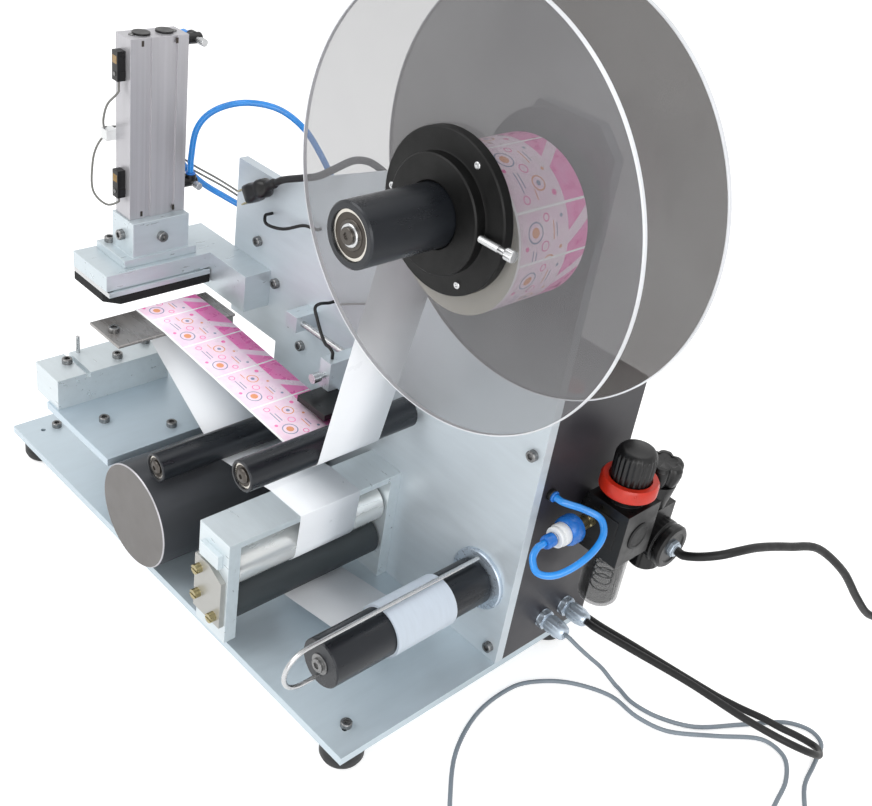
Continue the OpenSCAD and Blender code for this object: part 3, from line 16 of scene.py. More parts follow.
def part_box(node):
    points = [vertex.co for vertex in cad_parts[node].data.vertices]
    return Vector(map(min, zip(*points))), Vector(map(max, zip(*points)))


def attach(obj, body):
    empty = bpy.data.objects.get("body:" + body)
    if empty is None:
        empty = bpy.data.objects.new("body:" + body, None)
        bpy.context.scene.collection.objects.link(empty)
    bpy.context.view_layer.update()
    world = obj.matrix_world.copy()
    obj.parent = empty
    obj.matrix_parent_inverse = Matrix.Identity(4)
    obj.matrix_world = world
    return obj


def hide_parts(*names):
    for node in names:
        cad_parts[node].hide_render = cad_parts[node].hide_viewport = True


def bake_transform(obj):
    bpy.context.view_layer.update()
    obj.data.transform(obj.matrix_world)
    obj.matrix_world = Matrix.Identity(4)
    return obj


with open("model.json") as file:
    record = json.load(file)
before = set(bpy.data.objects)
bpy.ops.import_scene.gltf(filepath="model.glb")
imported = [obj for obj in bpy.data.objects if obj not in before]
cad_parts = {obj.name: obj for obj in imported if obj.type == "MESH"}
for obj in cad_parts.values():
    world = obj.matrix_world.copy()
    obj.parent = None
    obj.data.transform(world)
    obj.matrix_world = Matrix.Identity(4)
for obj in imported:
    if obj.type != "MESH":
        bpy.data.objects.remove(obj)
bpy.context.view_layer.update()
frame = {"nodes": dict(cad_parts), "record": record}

MM = 0.001
X, Y, Z = Vector((1, 0, 0)), Vector((0, 1, 0)), Vector((0, 0, 1))
base_low, base_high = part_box("base_plate")
CORNER = Vector((base_high.x, base_low.y, base_high.z))
TO_FRAME = Matrix.Translation(CORNER) @ Matrix.Scale(MM, 4)
BODY_OF = {n: b for b, nodes in frame["record"]["behaviour"]["bodies"].items() for n in nodes}
FLOOR_Z = -30.0


def at(x, y, z):
    """A point of the machine, from millimetres to the frame's metres."""
    return TO_FRAME @ Vector((x, y, z))


def add_object(name, data):
    obj = bpy.data.objects.new(name, data)
    bpy.context.scene.collection.objects.link(obj)
    return obj


# Camera

IMAGE_W = 872
FOCAL_PX = 1160.8
SENSOR_MM = 36.0
CAMERA_AT = (431.8, -452.4, 739.8)
AZIMUTH, ELEVATION, ROLL = radians(41.27), radians(32.27), radians(9.82)


def add_camera():
    data = bpy.data.cameras.new("camera")
    data.sensor_fit = "HORIZONTAL"
    data.sensor_width = SENSOR_MM
    data.lens = FOCAL_PX * SENSOR_MM / IMAGE_W
    data.clip_start = 0.01
    camera = add_object("camera", data)
    forward = Vector((-sin(AZIMUTH) * cos(ELEVATION), cos(AZIMUTH) * cos(ELEVATION), -sin(ELEVATION)))
    level = forward.cross(Vector((0, 0, 1))).normalized()
    upright = level.cross(forward)
    right = cos(ROLL) * level + sin(ROLL) * upright
    up = right.cross(forward)
    turn = Matrix((right, up, -forward)).transposed().to_4x4()
    camera.matrix_world = Matrix.Translation(at(*CAMERA_AT)) @ turn
    bpy.context.scene.camera = camera


add_camera()

# Materials

M = {}


def srgb(r, g, b):
    """A colour given as 0 to 255 screen values, as linear light."""
    def lin(c):
        c /= 255.0
        return c / 12.92 if c <= 0.04045 else ((c + 0.055) / 1.055) ** 2.4
    return (lin(r), lin(g), lin(b), 1.0)


def shade(colour, k):
    """The colour made lighter or darker."""
    return tuple(min(1.0, c * k) for c in colour[:3]) + (1.0,)


class Nodes:
    """A short way to wire the nodes of a material or a world."""

    def __init__(self, owner):
        owner.use_nodes = True
        self.tree = owner.node_tree

    def fill(self, inputs, values):
        """Sets the named inputs, and links those whose value is another node's output."""
        for key, value in values.items():
            if isinstance(value, bpy.types.NodeSocket):
                self.tree.links.new(value, inputs[key])
            else:
                inputs[key].default_value = value

    def node(self, kind, values, out=0, **settings):
        """Adds a node with its settings and inputs, and gives one of its outputs."""
        node = self.tree.nodes.new("ShaderNode" + kind)
        for key, value in settings.items():
            setattr(node, key, value)
        self.fill(node.inputs, values)
        return node.outputs[out]

    def coords(self, stretch=(1, 1, 1), kind="Object", shift=(0, 0, 0)):
        where = self.node("TexCoord", {}, kind)
        return self.node("Mapping", {"Vector": where, "Location": shift, "Scale": stretch})

    def noise(self, vector, scale, detail):
        values = {"Vector": vector, "Scale": scale, "Detail": detail, "Roughness": 0.55}
        return self.node("TexNoise", values, "Fac")

    def ramp(self, value, first, last, start=0.3):
        """Colours from the first to the last as the value goes from start to 1 - start."""
        colour = self.node("ValToRGB", {"Fac": value}, "Color")
        for element, place, tint in zip(colour.node.color_ramp.elements, (start, 1 - start), (first, last)):
            element.position = place
            element.color = tint
        return colour

    def span(self, value, low, high, start=0.3, end=0.7):
        """The value's stretch from start to end, spread from low to high."""
        values = {"Value": value, "From Min": start, "From Max": end, "To Min": low, "To Max": high}
        return self.node("MapRange", values, "Result")

    def math(self, operation, *values):
        return self.node("Math", dict(enumerate(values)), operation=operation)

    def mix(self, share, a, b):
        return self.node("Mix", {"Factor": share, 6: a, 7: b}, 2, data_type="RGBA")

    def seen_directly(self):
        """1 for rays from the camera, off gloss or through clear pieces, 0 for the light on the object."""
        rays = self.node("LightPath", {}).node.outputs
        seen = self.math("MAXIMUM", rays["Is Camera Ray"], rays["Is Glossy Ray"])
        return self.math("MAXIMUM", seen, rays["Is Transmission Ray"])


class Finish(Nodes):
    """A material, wired round its Principled BSDF."""

    def __init__(self, name):
        self.mat = M[name] = bpy.data.materials.new(name)
        super().__init__(self.mat)
        self.bsdf = self.tree.nodes["Principled BSDF"]

    def set(self, **values):
        self.fill(self.bsdf.inputs, {key.replace("_", " "): value for key, value in values.items()})

    def bump(self, height, depth_mm, strength):
        values = {"Strength": strength, "Distance": depth_mm * MM, "Height": height}
        self.set(Normal=self.node("Bump", values, "Normal"))


def surface(name, colour, rough, metal=0.0, spread=0.12, scale=60.0, stretch=(1, 1, 1),
        rough_spread=0.08, grain=700.0, grain_mm=0.008, **more):
    """A finish whose colour and roughness wander softly, with a fine grain in its bump."""
    n, colour = Finish(name), srgb(*colour)
    soft = n.noise(n.coords(stretch), scale, 5.0)
    n.set(Base_Color=n.ramp(soft, shade(colour, 1 - spread), shade(colour, 1 + spread)), Metallic=metal,
        Roughness=n.span(soft, max(0.02, rough - rough_spread), rough + rough_spread), **more)
    n.bump(n.noise(n.coords(stretch), grain, 3.0), grain_mm, 0.6)


def clear_finish(name, colour, alpha, rough):
    """Tinted clear sheet with faint cloudy haze and unevenly polished faces."""
    n, colour = Finish(name), srgb(*colour)
    haze = n.noise(n.coords(), 7.0, 3.0)
    polish = n.noise(n.coords((3, 1, 1)), 14.0, 1.0)
    n.set(Base_Color=n.ramp(haze, shade(colour, 0.8), shade(colour, 1.25)), IOR=1.49,
        Roughness=n.span(polish, rough * 0.7, rough * 1.6),
        Alpha=n.span(haze, alpha - 0.03, alpha + 0.03))
    n.mat.surface_render_method = "BLENDED"


def label_print():
    """Generic print: a pale pink ground, a magenta edge band cut by slanted gaps, rings, dots and bars."""
    n = Finish("label_print")
    sides = n.node("SeparateXYZ", {"Vector": n.coords(kind="UV")}).node.outputs
    u, v = (n.math("MULTIPLY", sides[side], 1 / MM) for side in "XY")

    def wrapped(value):
        return n.math("MULTIPLY", n.math("FRACT", n.math("DIVIDE", value, LABEL_PITCH)), LABEL_PITCH)

    def inside(value, limit):
        return n.math("LESS_THAN", value, limit)

    def near(value, centre, limit):
        return inside(n.math("ABSOLUTE", n.math("SUBTRACT", value, centre)), limit)

    def far(cu, cv):
        du, dv = n.math("SUBTRACT", cell, cu), n.math("SUBTRACT", v, cv)
        return n.math("SQRT", n.math("ADD", n.math("MULTIPLY", du, du), n.math("MULTIPLY", dv, dv)))

    def dot(cu, cv, r):
        return inside(far(cu, cv), r)

    def ring(cu, cv, r, width):
        return near(far(cu, cv), r, width)

    def bar(cu, cv, length, width):
        return n.math("MULTIPLY", near(cell, cu, length), near(v, cv, width))

    cell = wrapped(u)
    slant = wrapped(n.math("ADD", u, n.math("MULTIPLY", v, BAND_SLOPE)))
    mottle = n.noise(n.coords(), 110.0, 3.0)
    ink = n.ramp(mottle, srgb(240, 96, 178), srgb(244, 140, 200))
    band = n.math("MULTIPLY", n.math("GREATER_THAN", v, BAND_FROM), n.math("GREATER_THAN", slant, BAND_GAP))
    out = n.mix(band, n.ramp(mottle, srgb(246, 226, 238), srgb(240, 206, 228)), ink)
    blue, orange, rose = srgb(134, 144, 172), srgb(226, 152, 108), srgb(240, 110, 176)
    for shape, spot, colour in ((ring, (15, 16, 6.5, 0.5), blue), (dot, (15, 16, 3.4), orange),
            (ring, (37, 30, 5.0, 0.5), orange), (dot, (37, 30, 1.8), blue),
            (bar, (34, 14, 7.5, 0.45), blue), (bar, (33, 17, 5.5, 0.45), blue),
            (bar, (16, 33, 6.0, 0.45), orange), (bar, (16, 36, 4.5, 0.45), blue),
            (dot, (28, 40, 1.3), orange), (dot, (8, 41, 1.3), blue), (ring, (25, 25, 3.2, 0.35), rose),
            (ring, (46, 14, 2.6, 0.35), rose), (dot, (45, 40, 2.0), rose), (dot, (24, 8, 1.6), rose),
            (bar, (44, 24, 3.5, 0.4), orange), (ring, (7, 27, 2.4, 0.4), rose)):
        out = n.mix(shape(*spot), out, colour)
    out = n.mix(inside(cell, LABEL_GAP), out, srgb(250, 250, 250))
    out = n.mix(inside(v, LABEL_EDGE), out, srgb(250, 248, 250))
    n.set(Base_Color=out, Roughness=n.span(mottle, 0.24, 0.36), Coat_Weight=0.2)
    n.bump(n.noise(n.coords(), 900.0, 2.0), 0.01, 0.4)


def paper_edge(centre):
    """The wound edge of a roll: fine rings round its axis."""
    n = Finish("paper_edge")
    spot = n.coords((1, 0, 1), shift=(-centre.x, 0, -centre.z))
    wave = n.node("TexWave", {"Vector": spot, "Scale": 230.0, "Distortion": 0.6}, "Fac",
        wave_type="RINGS", rings_direction="SPHERICAL")
    n.set(Base_Color=n.ramp(wave, srgb(236, 228, 208), srgb(250, 246, 234), 0.2),
        Roughness=n.span(wave, 0.55, 0.7, 0, 1))
    n.bump(wave, 0.05, 0.5)


LABEL_PITCH, LABEL_GAP, LABEL_EDGE = 52.0, 1.6, 2.0
BAND_FROM, BAND_GAP, BAND_SLOPE = 47.0, 9.0, 0.7
REEL_X, REEL_Z, ROLL_Z = -28.2, 451.4, 434.7

# Each finish's name, colour, roughness, metal, colour spread, cloud scale and stretch

surface("plate", (202, 211, 217), 0.4, 0.34, 0.03, 25, (1, 1, 6), grain_mm=0.0008)
surface("base", (196, 209, 217), 0.38, 0.34, 0.03, 22, (5, 1, 1), grain_mm=0.0008)
surface("block", (208, 217, 221), 0.34, 0.42, 0.04, 30, (1, 5, 5), grain_mm=0.0008)
surface("arm", (198, 208, 213), 0.34, 0.42, 0.04, 30, (5, 1, 5), grain_mm=0.0008)
surface("table", (190, 205, 215), 0.36, 0.36, 0.03, 24, (6, 1, 1), grain_mm=0.0008)
surface("cylinder", (184, 183, 187), 0.36, 0.5, 0.07, 45, (6, 6, 0.12), grain_mm=0.0006)
surface("cover", (168, 168, 164), 0.36, 0.5, 0.05, 40, (1, 1, 5), grain_mm=0.0008)
surface("steel", (190, 191, 192), 0.24, 0.9, 0.05, 90, grain_mm=0.001)
surface("roller_steel", (226, 228, 227), 0.26, 0.6, 0.03, 60, (1, 0.2, 1), 0.04, grain_mm=0.001)
surface("screw", (128, 128, 128), 0.3, 0.9, 0.12, 300, grain_mm=0.01)
surface("dark_screw", (84, 80, 76), 0.32, 0.9, 0.12, 300, grain_mm=0.01)
surface("race", (196, 192, 184), 0.22, 0.95, 0.06, 200, grain_mm=0.003)
surface("shield", (62, 56, 50), 0.36, 0.5, 0.15, 300)
surface("black_alu", (30, 33, 38), 0.3, 0.3, 0.12, 80, (1, 0.25, 1))
surface("flange_black", (7, 7, 7), 0.5, 0.0, 0.14, 90, Specular_IOR_Level=0.25)
surface("drum_side", (66, 68, 72), 0.42, 0.2, 0.08, 60, (1, 0.2, 1))
surface("drum_end", (104, 101, 99), 0.42, 0.4, 0.05, 45)
surface("box", (36, 34, 40), 0.42, 0.0, 0.18, 18, grain=900, grain_mm=0.03)
surface("plastic", (9, 9, 10), 0.34, 0.0, 0.2, 120, grain_mm=0.01, Specular_IOR_Level=0.42)
surface("soft_black", (12, 12, 13), 0.5, 0.0, 0.2, 150, grain_mm=0.02, Specular_IOR_Level=0.4)
surface("foam", (16, 17, 18), 0.85, 0.0, 0.25, 400, grain=1800, grain_mm=0.15)
surface("rubber", (48, 54, 57), 0.6, 0.0, 0.12, 90, grain=900, grain_mm=0.03)
surface("foot", (26, 27, 28), 0.6, 0.0, 0.15, 120, grain=900, grain_mm=0.04)
surface("brass", (158, 148, 112), 0.28, 0.9, 0.1, 200)
surface("nickel", (184, 196, 208), 0.3, 0.6, 0.06, 150)
surface("lock_ring", (192, 40, 18), 0.34, 0.0, 0.1, 120)
surface("red", (190, 30, 24), 0.3, 0.0, 0.1, 120)
surface("blue_part", (36, 112, 196), 0.26, 0.0, 0.12, 120)
surface("blue_tube", (36, 138, 222), 0.2, 0.0, 0.1, 70, grain_mm=0.003, Coat_Weight=0.3)
surface("white_part", (226, 228, 228), 0.4, 0.0, 0.04, 120)
surface("grey_wire", (112, 112, 108), 0.42, 0.0, 0.1, 150)
surface("grey_cable", (124, 134, 143), 0.42, 0.0, 0.08, 90)
surface("peel", (146, 143, 141), 0.28, 0.55, 0.1, 35, (1, 4, 1), 0.04, grain_mm=0.001)
surface("card", (190, 160, 122), 0.75, 0.0, 0.1, 160, grain_mm=0.04)
surface("liner", (236, 239, 243), 0.34, 0.0, 0.015, 30, grain_mm=0.005, Coat_Weight=0.2)
surface("waste", (198, 208, 219), 0.45, 0.0, 0.03, 45, (1, 6, 1))
surface("belt", (26, 26, 27), 0.7, 0.0, 0.2, 200, grain_mm=0.06)
surface("motor", (96, 100, 104), 0.4, 0.6, 0.1, 60)
surface("amber", (150, 120, 70), 0.15, 0.0, 0.1, 300, grain_mm=0.003)
clear_finish("front_sheet", (119, 119, 122), 0.36, 0.14)
clear_finish("rear_sheet", (76, 72, 70), 0.66, 0.18)
# The discs' cut edge finish: near white, a painted highlight along the edge.
clear_finish("sheet_rim_highlight", (222, 224, 228), 0.88, 0.25)
clear_finish("bowl", (22, 23, 24), 0.42, 0.05)
label_print()
paper_edge(at(REEL_X, 0, ROLL_Z))

# Shapes

CREASE = radians(35)
SAME_MM = 0.002
HEAD_R, HEAD_H = 5.0, 5.0


def flats(sides):
    """How a circle's radius shrinks to a polygon's outline."""
    step = 2 * pi / sides
    return lambda a: cos(step / 2) / cos(a % step - step / 2)


def ribs(count, depth):
    """A radius that swells into even ribs."""
    return lambda a: 1 - depth * (0.5 + 0.5 * cos(count * a))


def notches(count, depth, width):
    """A radius with a few rounded finger notches."""
    step = 2 * pi / count
    return lambda a: 1 - depth * exp(-(((a + step / 2) % step - step / 2) / width) ** 2)


HEX = flats(6)


def chamfered(r, length, c):
    """The outer corners of a rod or ring."""
    return [(r - c, 0), (r, c), (r, length - c), (r - c, length)] if c else [(r, 0), (r, length)]


def smooth(points, steps):
    """Points of a curve through the given ones, with straight first and last stretches."""
    p = [Vector(q) for q in points]
    out = [p[0], p[1]]
    for i in range(1, len(p) - 2):
        a, b, c, d = p[i - 1:i + 3]
        for j in range(1, steps + 1):
            t = j / steps
            square, cube = 2 * a - 5 * b + 4 * c - d, 3 * b - a - 3 * c + d
            out.append(0.5 * (2 * b + (c - a) * t + square * t * t + cube * t ** 3))
    return out + [p[-1]]


class Form:
    """Gathers shapes of several finishes, in millimetres, into one piece."""

    def __init__(self):
        self.bm = bmesh.new()
        self.uv = self.bm.loops.layers.uv.new("UVMap")
        self.mats = []

    def slot(self, name):
        if name not in self.mats:
            self.mats.append(name)
        return self.mats.index(name)

    def face(self, points, index, uvs=()):
        f = self.bm.faces.new(points)
        f.material_index = index
        for loop, uv in zip(f.loops, uvs):
            loop[self.uv].uv = uv

    def skin(self, rows, mat, closed=False, arc=0.0, heights=None):
        """Joins rows of points with faces, where a row of one point is a tip."""
        index = self.slot(mat)
        heights = heights or [0.0] * len(rows)
        for i in range(len(rows) if closed else len(rows) - 1):
            low, high = rows[i], rows[(i + 1) % len(rows)]
            count = max(len(low), len(high))
            for k in range(count):
                corners = ((low, k), (low, k + 1), (high, k + 1), (high, k))
                points = list(dict.fromkeys(row[j % len(row)] for row, j in corners))
                uvs = [(arc * j / count * MM, heights[(i + (row is high)) % len(rows)] * MM)
                    for row, j in corners]
                if len(points) > 2:
                    self.face(points, index, uvs if arc else ())
        return self

    def capped(self, rows, mat):
        """Joins rows of points and closes both ends."""
        self.skin(rows, mat)
        self.face(rows[0][::-1], self.slot(mat))
        self.face(rows[-1], self.slot(mat))
        return self

    def turn(self, base, axis, outline, mat, seg=64, closed=False, arc=0.0):
        """Turns an outline of (radius, height) or (radius, height, form) round an axis."""
        axis, base = Vector(axis).normalized(), Vector(base)
        u = axis.cross(Z if abs(axis.z) < 0.9 else X).normalized()
        w = axis.cross(u)
        rows = []
        for r, h, *form in outline:
            row = []
            for k in range(seg if r else 1):
                a = 2 * pi * k / seg
                rr = r * (form[0](a) if form else 1)
                row.append(self.bm.verts.new(base + h * axis + rr * (cos(a) * u + sin(a) * w)))
            rows.append(row)
        return self.skin(rows, mat, closed, arc, [point[1] for point in outline])

    def solid(self, base, axis, outline, mat, seg=64):
        """A turned solid whose ends are flat at the outline's first and last height."""
        return self.turn(base, axis, [(0, outline[0][1]), *outline, (0, outline[-1][1])], mat, seg)

    def ring(self, base, axis, r_in, r_out, length, mat, seg=64, chamfer=0.0):
        line = [(r_in, 0), *chamfered(r_out, length, chamfer), (r_in, length)]
        return self.turn(base, axis, line, mat, seg, True)

    def rod(self, base, axis, r, length, mat, seg=48, chamfer=0.0):
        return self.solid(base, axis, chamfered(r, length, chamfer), mat, seg)

    def block(self, low, high, mat):
        corners = [(x, y, z) for x in (low[0], high[0]) for y in (low[1], high[1])
            for z in (low[2], high[2])]
        v = [self.bm.verts.new(c) for c in corners]
        for ids in ((0, 1, 3, 2), (4, 6, 7, 5), (0, 4, 5, 1), (2, 3, 7, 6), (0, 2, 6, 4), (1, 5, 7, 3)):
            self.face([v[i] for i in ids], self.slot(mat))
        return self

    def loft(self, matrix, sections, mat, seg=32):
        """Joins rounded sections (x, half width, half height, squareness) along a local X."""
        rows = []
        for x, hy, hz, power in sections:
            row = []
            for k in range(seg):
                a = 2 * pi * (k + 0.5) / seg
                c, s = cos(a), sin(a)
                y = hy * copysign(abs(c) ** (2 / power), c)
                z = hz * copysign(abs(s) ** (2 / power), s)
                row.append(self.bm.verts.new(matrix @ Vector((x, y, z))))
            rows.append(row)
        return self.capped(rows, mat)

    def tube(self, points, r, mat, sides, steps=6):
        """A round tube along a route, which is smoothed unless it has one step."""
        line = smooth(points, steps) if steps > 1 else [Vector(p) for p in points]
        rows, u = [], None
        for i, p in enumerate(line):
            t = (line[min(i + 1, len(line) - 1)] - line[max(i - 1, 0)]).normalized()
            if u is None:
                u = t.orthogonal().normalized()
            u = (u - t * u.dot(t)).normalized()
            w = t.cross(u)
            angles = [2 * pi * k / sides for k in range(sides)]
            rows.append([self.bm.verts.new(p + r * (cos(a) * u + sin(a) * w)) for a in angles])
        return self.capped(rows, mat)

    def cad(self, node, mat, paint=None):
        """Copies a CAD node's own mesh, its flat faces joined, and paints its faces by place."""
        mesh = frame["nodes"][node].data.copy()
        mesh.transform(TO_FRAME.inverted())
        part = bmesh.new()
        part.from_mesh(mesh)
        bmesh.ops.remove_doubles(part, verts=part.verts, dist=SAME_MM)
        bmesh.ops.dissolve_limit(part, angle_limit=radians(1), verts=part.verts, edges=part.edges,
            delimit={"NORMAL"})
        part.to_mesh(mesh)
        part.free()
        index = self.slot(mat)
        before = len(self.bm.faces)
        self.bm.from_mesh(mesh)
        bpy.data.meshes.remove(mesh)
        self.bm.faces.ensure_lookup_table()
        for f in self.bm.faces[before:]:
            other = paint and paint(f.calc_center_median(), f.normal)
            f.material_index = self.slot(other) if other else index
        return self

    def screw(self, spot, axis=Z):
        """A socket head screw with a chamfered head and a hexagon hole."""
        line = [(0, 0), (HEAD_R, 0), (HEAD_R, HEAD_H - 0.7), (HEAD_R - 0.7, HEAD_H),
            (0.58 * HEAD_R, HEAD_H, HEX), (0.56 * HEAD_R, HEAD_H / 2, HEX), (0, HEAD_H / 2 - 0.3)]
        return self.turn(spot, axis, line, "screw", 48)

    def bearing(self, base, r_out, r_in, width):
        """A shielded ball bearing: two bright races and a dark, sunk shield."""
        rim = 0.16 * (r_out - r_in) + 0.8
        self.ring(base, Y, r_out - rim, r_out, width, "race", 64, 0.3)
        self.ring(base, Y, r_in, r_in + rim, width, "dark_screw", 64, 0.3)
        return self.ring(Vector(base) + 0.6 * Y, Y, r_in + rim - 0.05, r_out - rim + 0.05, width - 1.2,
            "shield", 64)

    def piece(self, name, nodes=(), body=None, bevel=0.4, segments=2, outward=True):
        """Makes the piece, rides it on its body and lets it stand for its CAD nodes."""
        if outward:
            bmesh.ops.recalc_face_normals(self.bm, faces=self.bm.faces)
        for f in self.bm.faces:
            f.smooth = True
        for e in self.bm.edges:
            if len(e.link_faces) == 2 and e.calc_face_angle(0) > CREASE:
                e.smooth = False
        self.bm.transform(TO_FRAME)
        mesh = bpy.data.meshes.new(name)
        self.bm.to_mesh(mesh)
        self.bm.free()
        for m in self.mats:
            mesh.materials.append(M[m])
        obj = add_object(name, mesh)
        if bevel:
            mod = obj.modifiers.new("edge", "BEVEL")
            mod.width = bevel * MM
            mod.segments = segments
            mod.limit_method = "ANGLE"
            mod.angle_limit = CREASE
            mod.harden_normals = True
        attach(obj, body or BODY_OF[nodes[0]])
        if nodes:
            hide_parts(*nodes)
        return obj

    def look(self, node, bevel, **more):
        """Makes the piece that stands for one CAD node."""
        return self.piece("look_" + node, [node], bevel=bevel, **more)


def dress(node, mat, bevel, paint=None, **more):
    """A CAD node's own shape with rounded edges and its finish."""
    Form().cad(node, mat, paint).look(node, bevel, **more)


# Free cords

MAINS_D, CABLE_D, HOSE_D = 6.5, 4.0, 8.0
MAINS = [(28, 265, 26), (38, 265, 26), (70, 274.5, 22.5), (129, 289, 19.5), (178, 297, 17),
    (207, 304, 15.5), (226, 313, 12), (238, 328, 3), (240, 346, -10), (231, 361, -19), (214, 361, -21),
    (198, 355.5, -20.5), (181, 351.5, -20.5), (161, 348, -23.5), (135, 344.5, -26.5), (100, 339, -26.5),
    (46, 331, -26.5), (0, 324, -26.5), (-60, 324, -26.5), (-130, 332, -26.5), (-200, 338, -24),
    (-232, 332, 20), (-246, 324, 100), (-254, 316, 180), (-262, 311, 248), (-267, 292, 294),
    (-266, 254, 328), (-263, 222, 356), (-262, 200, 371), (-265, 184, 374), (-273, 172, 366),
    (-288, 166, 354), (-306, 165, 345.5), (-326, 165, 336.5), (-336, 165, 331.5), (-344, 165, 326)]
CABLE_REST = -27.8
CABLE = [(28, 235, 26), (33, 235, 26), (40, 241, 18), (46, 255, 2), (54, 271, -16)]
CABLE += [(x, y, CABLE_REST) for x, y in ((70, 276), (92, 272), (118, 278), (146, 297), (170, 334),
    (194, 372), (214, 384), (230, 378), (238, 352), (246, 322), (266, 290), (276, 264), (264, 246),
    (248, 256), (240, 284), (232, 314), (216, 336), (192, 336), (164, 304), (134, 272), (106, 262),
    (76, 262), (46, 246), (26, 224), (14, 196), (16, 148), (36, 100), (70, 60), (98, 34), (112, 22))]
HOSE = [(68.5, 311, 117.5), (76, 311, 117.5), (90, 314, 124.5), (103, 323, 131.5), (111, 338, 134.5),
    (115, 358, 131.5), (119, 382, 124.5), (125, 412, 114.5), (134, 456, 98), (152, 492, 66),
    (164, 526, 24), (172, 556, -8), (178, 584, -24), (184, 612, -26), (190, 640, -26)]
LOOP_RINGS, COIL_SPACE = 24, 0.8
PLUG_SLOPE, PRONG_GAP = 35, 12.7


def coil(points, d, r_out, turns, tail, end_r):
    """A piled coil after the last point, and its straight tail on the floor."""
    end = Vector(points[-1])
    lead = (end - Vector(points[-2])).normalized()
    a0 = atan2(lead.y, lead.x) + pi / 2
    centre = Vector((end.x, end.y, FLOOR_Z)) - r_out * Vector((cos(a0), sin(a0), 0))
    pitch, half, out = d + COIL_SPACE, turns / 2, []
    for i in range(turns * LOOP_RINGS + 1):
        t = i / LOOP_RINGS
        rise = min(1.0, max(0.0, (t - half + 0.25) * 2))
        r = r_out - pitch * (t if t < half else turns - t)
        a = a0 - 2 * pi * t
        out.append(centre + Vector((r * cos(a), r * sin(a), d / 2 + rise * pitch)) + lead * d)
    last = Vector((out[-1].x - lead.x * d, out[-1].y - lead.y * d, FLOOR_Z + end_r))
    return out + [last + lead * (d + tail), last + lead * (2 * d + tail)]


def cord_curve(name, points, d, mat):
    """One open spline through the route's points, as round as the cord."""
    curve = bpy.data.curves.new(name, "CURVE")
    curve.dimensions = "3D"
    curve.resolution_u = 6
    curve.bevel_depth = d / 2 * MM
    curve.bevel_resolution = 5
    curve.use_fill_caps = True
    spline = curve.splines.new("BEZIER")
    p = [at(q[0], q[1], max(q[2], FLOOR_Z + d / 2)) for q in points]
    rest = at(0, 0, FLOOR_Z + d / 2).z
    spline.bezier_points.add(len(p) - 1)
    for i, (knot, q) in enumerate(zip(spline.bezier_points, p)):
        before, after = p[max(i - 1, 0)], p[min(i + 1, len(p) - 1)]
        reach = (after - before) / (6 if 0 < i < len(p) - 1 else 3)
        back = min(reach.length, (q - before).length / 3) if i else 0
        ahead = min(reach.length, (after - q).length / 3) if i < len(p) - 1 else 0
        knot.handle_left_type = knot.handle_right_type = "FREE"
        knot.co = q
        knot.handle_left = q - reach.normalized() * back
        knot.handle_right = q + reach.normalized() * ahead
        for handle in (knot.handle_left, knot.handle_right):
            handle.z = max(handle.z, rest)
    obj = add_object(name, curve)
    curve.materials.append(M[mat])
    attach(obj, "frame")
    return obj


def run_length(curve_object):
    """The length of a cord's centreline, in metres."""
    total, knots = 0.0, curve_object.data.splines[0].bezier_points
    for a, b in zip(knots, knots[1:]):
        run = interpolate_bezier(a.co, a.handle_right, b.handle_left, b.co, 13)
        total += sum((q - p).length for p, q in zip(run, run[1:]))
    return total


def end_frame(points):
    """A matrix at a cord's last point whose X goes on along it."""
    end, before = Vector(points[-1]), Vector(points[-2])
    x = (end - before).normalized()
    y = Z.cross(x).normalized()
    return Matrix.Translation(end) @ Matrix((x, y, x.cross(y))).transposed().to_4x4()


def mains_lead():
    cord = cord_curve("mains_lead", MAINS, MAINS_D, "soft_black")
    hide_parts("mains_cord")
    slope = radians(PLUG_SLOPE)
    along = Vector((-cos(slope), 0, -sin(slope)))
    across = Vector((sin(slope), 0, -cos(slope)))
    place = Matrix.Translation(MAINS[-1]) @ Matrix((along, across, -Y)).transposed().to_4x4()
    f = Form()
    ribs_at = [(1.5 + 2.0 * k, 4.7 if k % 2 else 4.1) for k in range(6)]
    f.loft(place, [(0, 3.5, 3.5, 2)] + [(x, r, r, 2) for x, r in ribs_at] + [(14, 5.2, 5.2, 2.2)],
        "soft_black")
    f.loft(place, [(13.5, 5.2, 5.2, 2.2), (17, 8.2, 7.4, 3), (22, 8.9, 8.6, 4), (26, 8.0, 8.2, 4),
        (31, 7.9, 8.2, 4), (35, 8.9, 8.9, 5), (43, 9, 9, 5), (44, 8.5, 8.5, 5)], "plastic")
    for s in (-1, 1):
        shifted = place @ Matrix.Translation((0, s * PRONG_GAP / 2, 0))
        f.loft(shifted, [(43.5, 0.8, 3.2, 8), (59.5, 0.8, 3.2, 8), (61, 0.5, 2.4, 6)], "brass", 24)
    plug = f.piece("mains_plug_body", ["mains_plug"], bevel=0.2)
    run_length(cord)


def control_cable():
    points = CABLE + coil(CABLE, CABLE_D, r_out=31.6, turns=7, tail=21.6, end_r=5.5)
    cord = cord_curve("control_cable", points, CABLE_D, "grey_cable")
    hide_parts("cable_run", "cable_coil")
    place = end_frame(points)
    f = Form()
    f.loft(place, [(0.3, 2.3, 2.3, 2), (3, 3.4, 3.4, 2), (9.3, 3.5, 3.5, 2)], "soft_black")
    base = place @ Vector((9.3, 0, 0))
    axis = place.to_3x3() @ X
    f.solid(base, axis, [(4.9, 0), (5.5, 0.6, ribs(24, 0.06)), (5.5, 12, ribs(24, 0.06)), (4.9, 12.6),
        (4.6, 12.6), (4.6, 20), (3.8, 20), (3.8, 16)], "nickel", 96)
    end = f.piece("cable_connector", body="frame", bevel=0.15)
    run_length(cord)


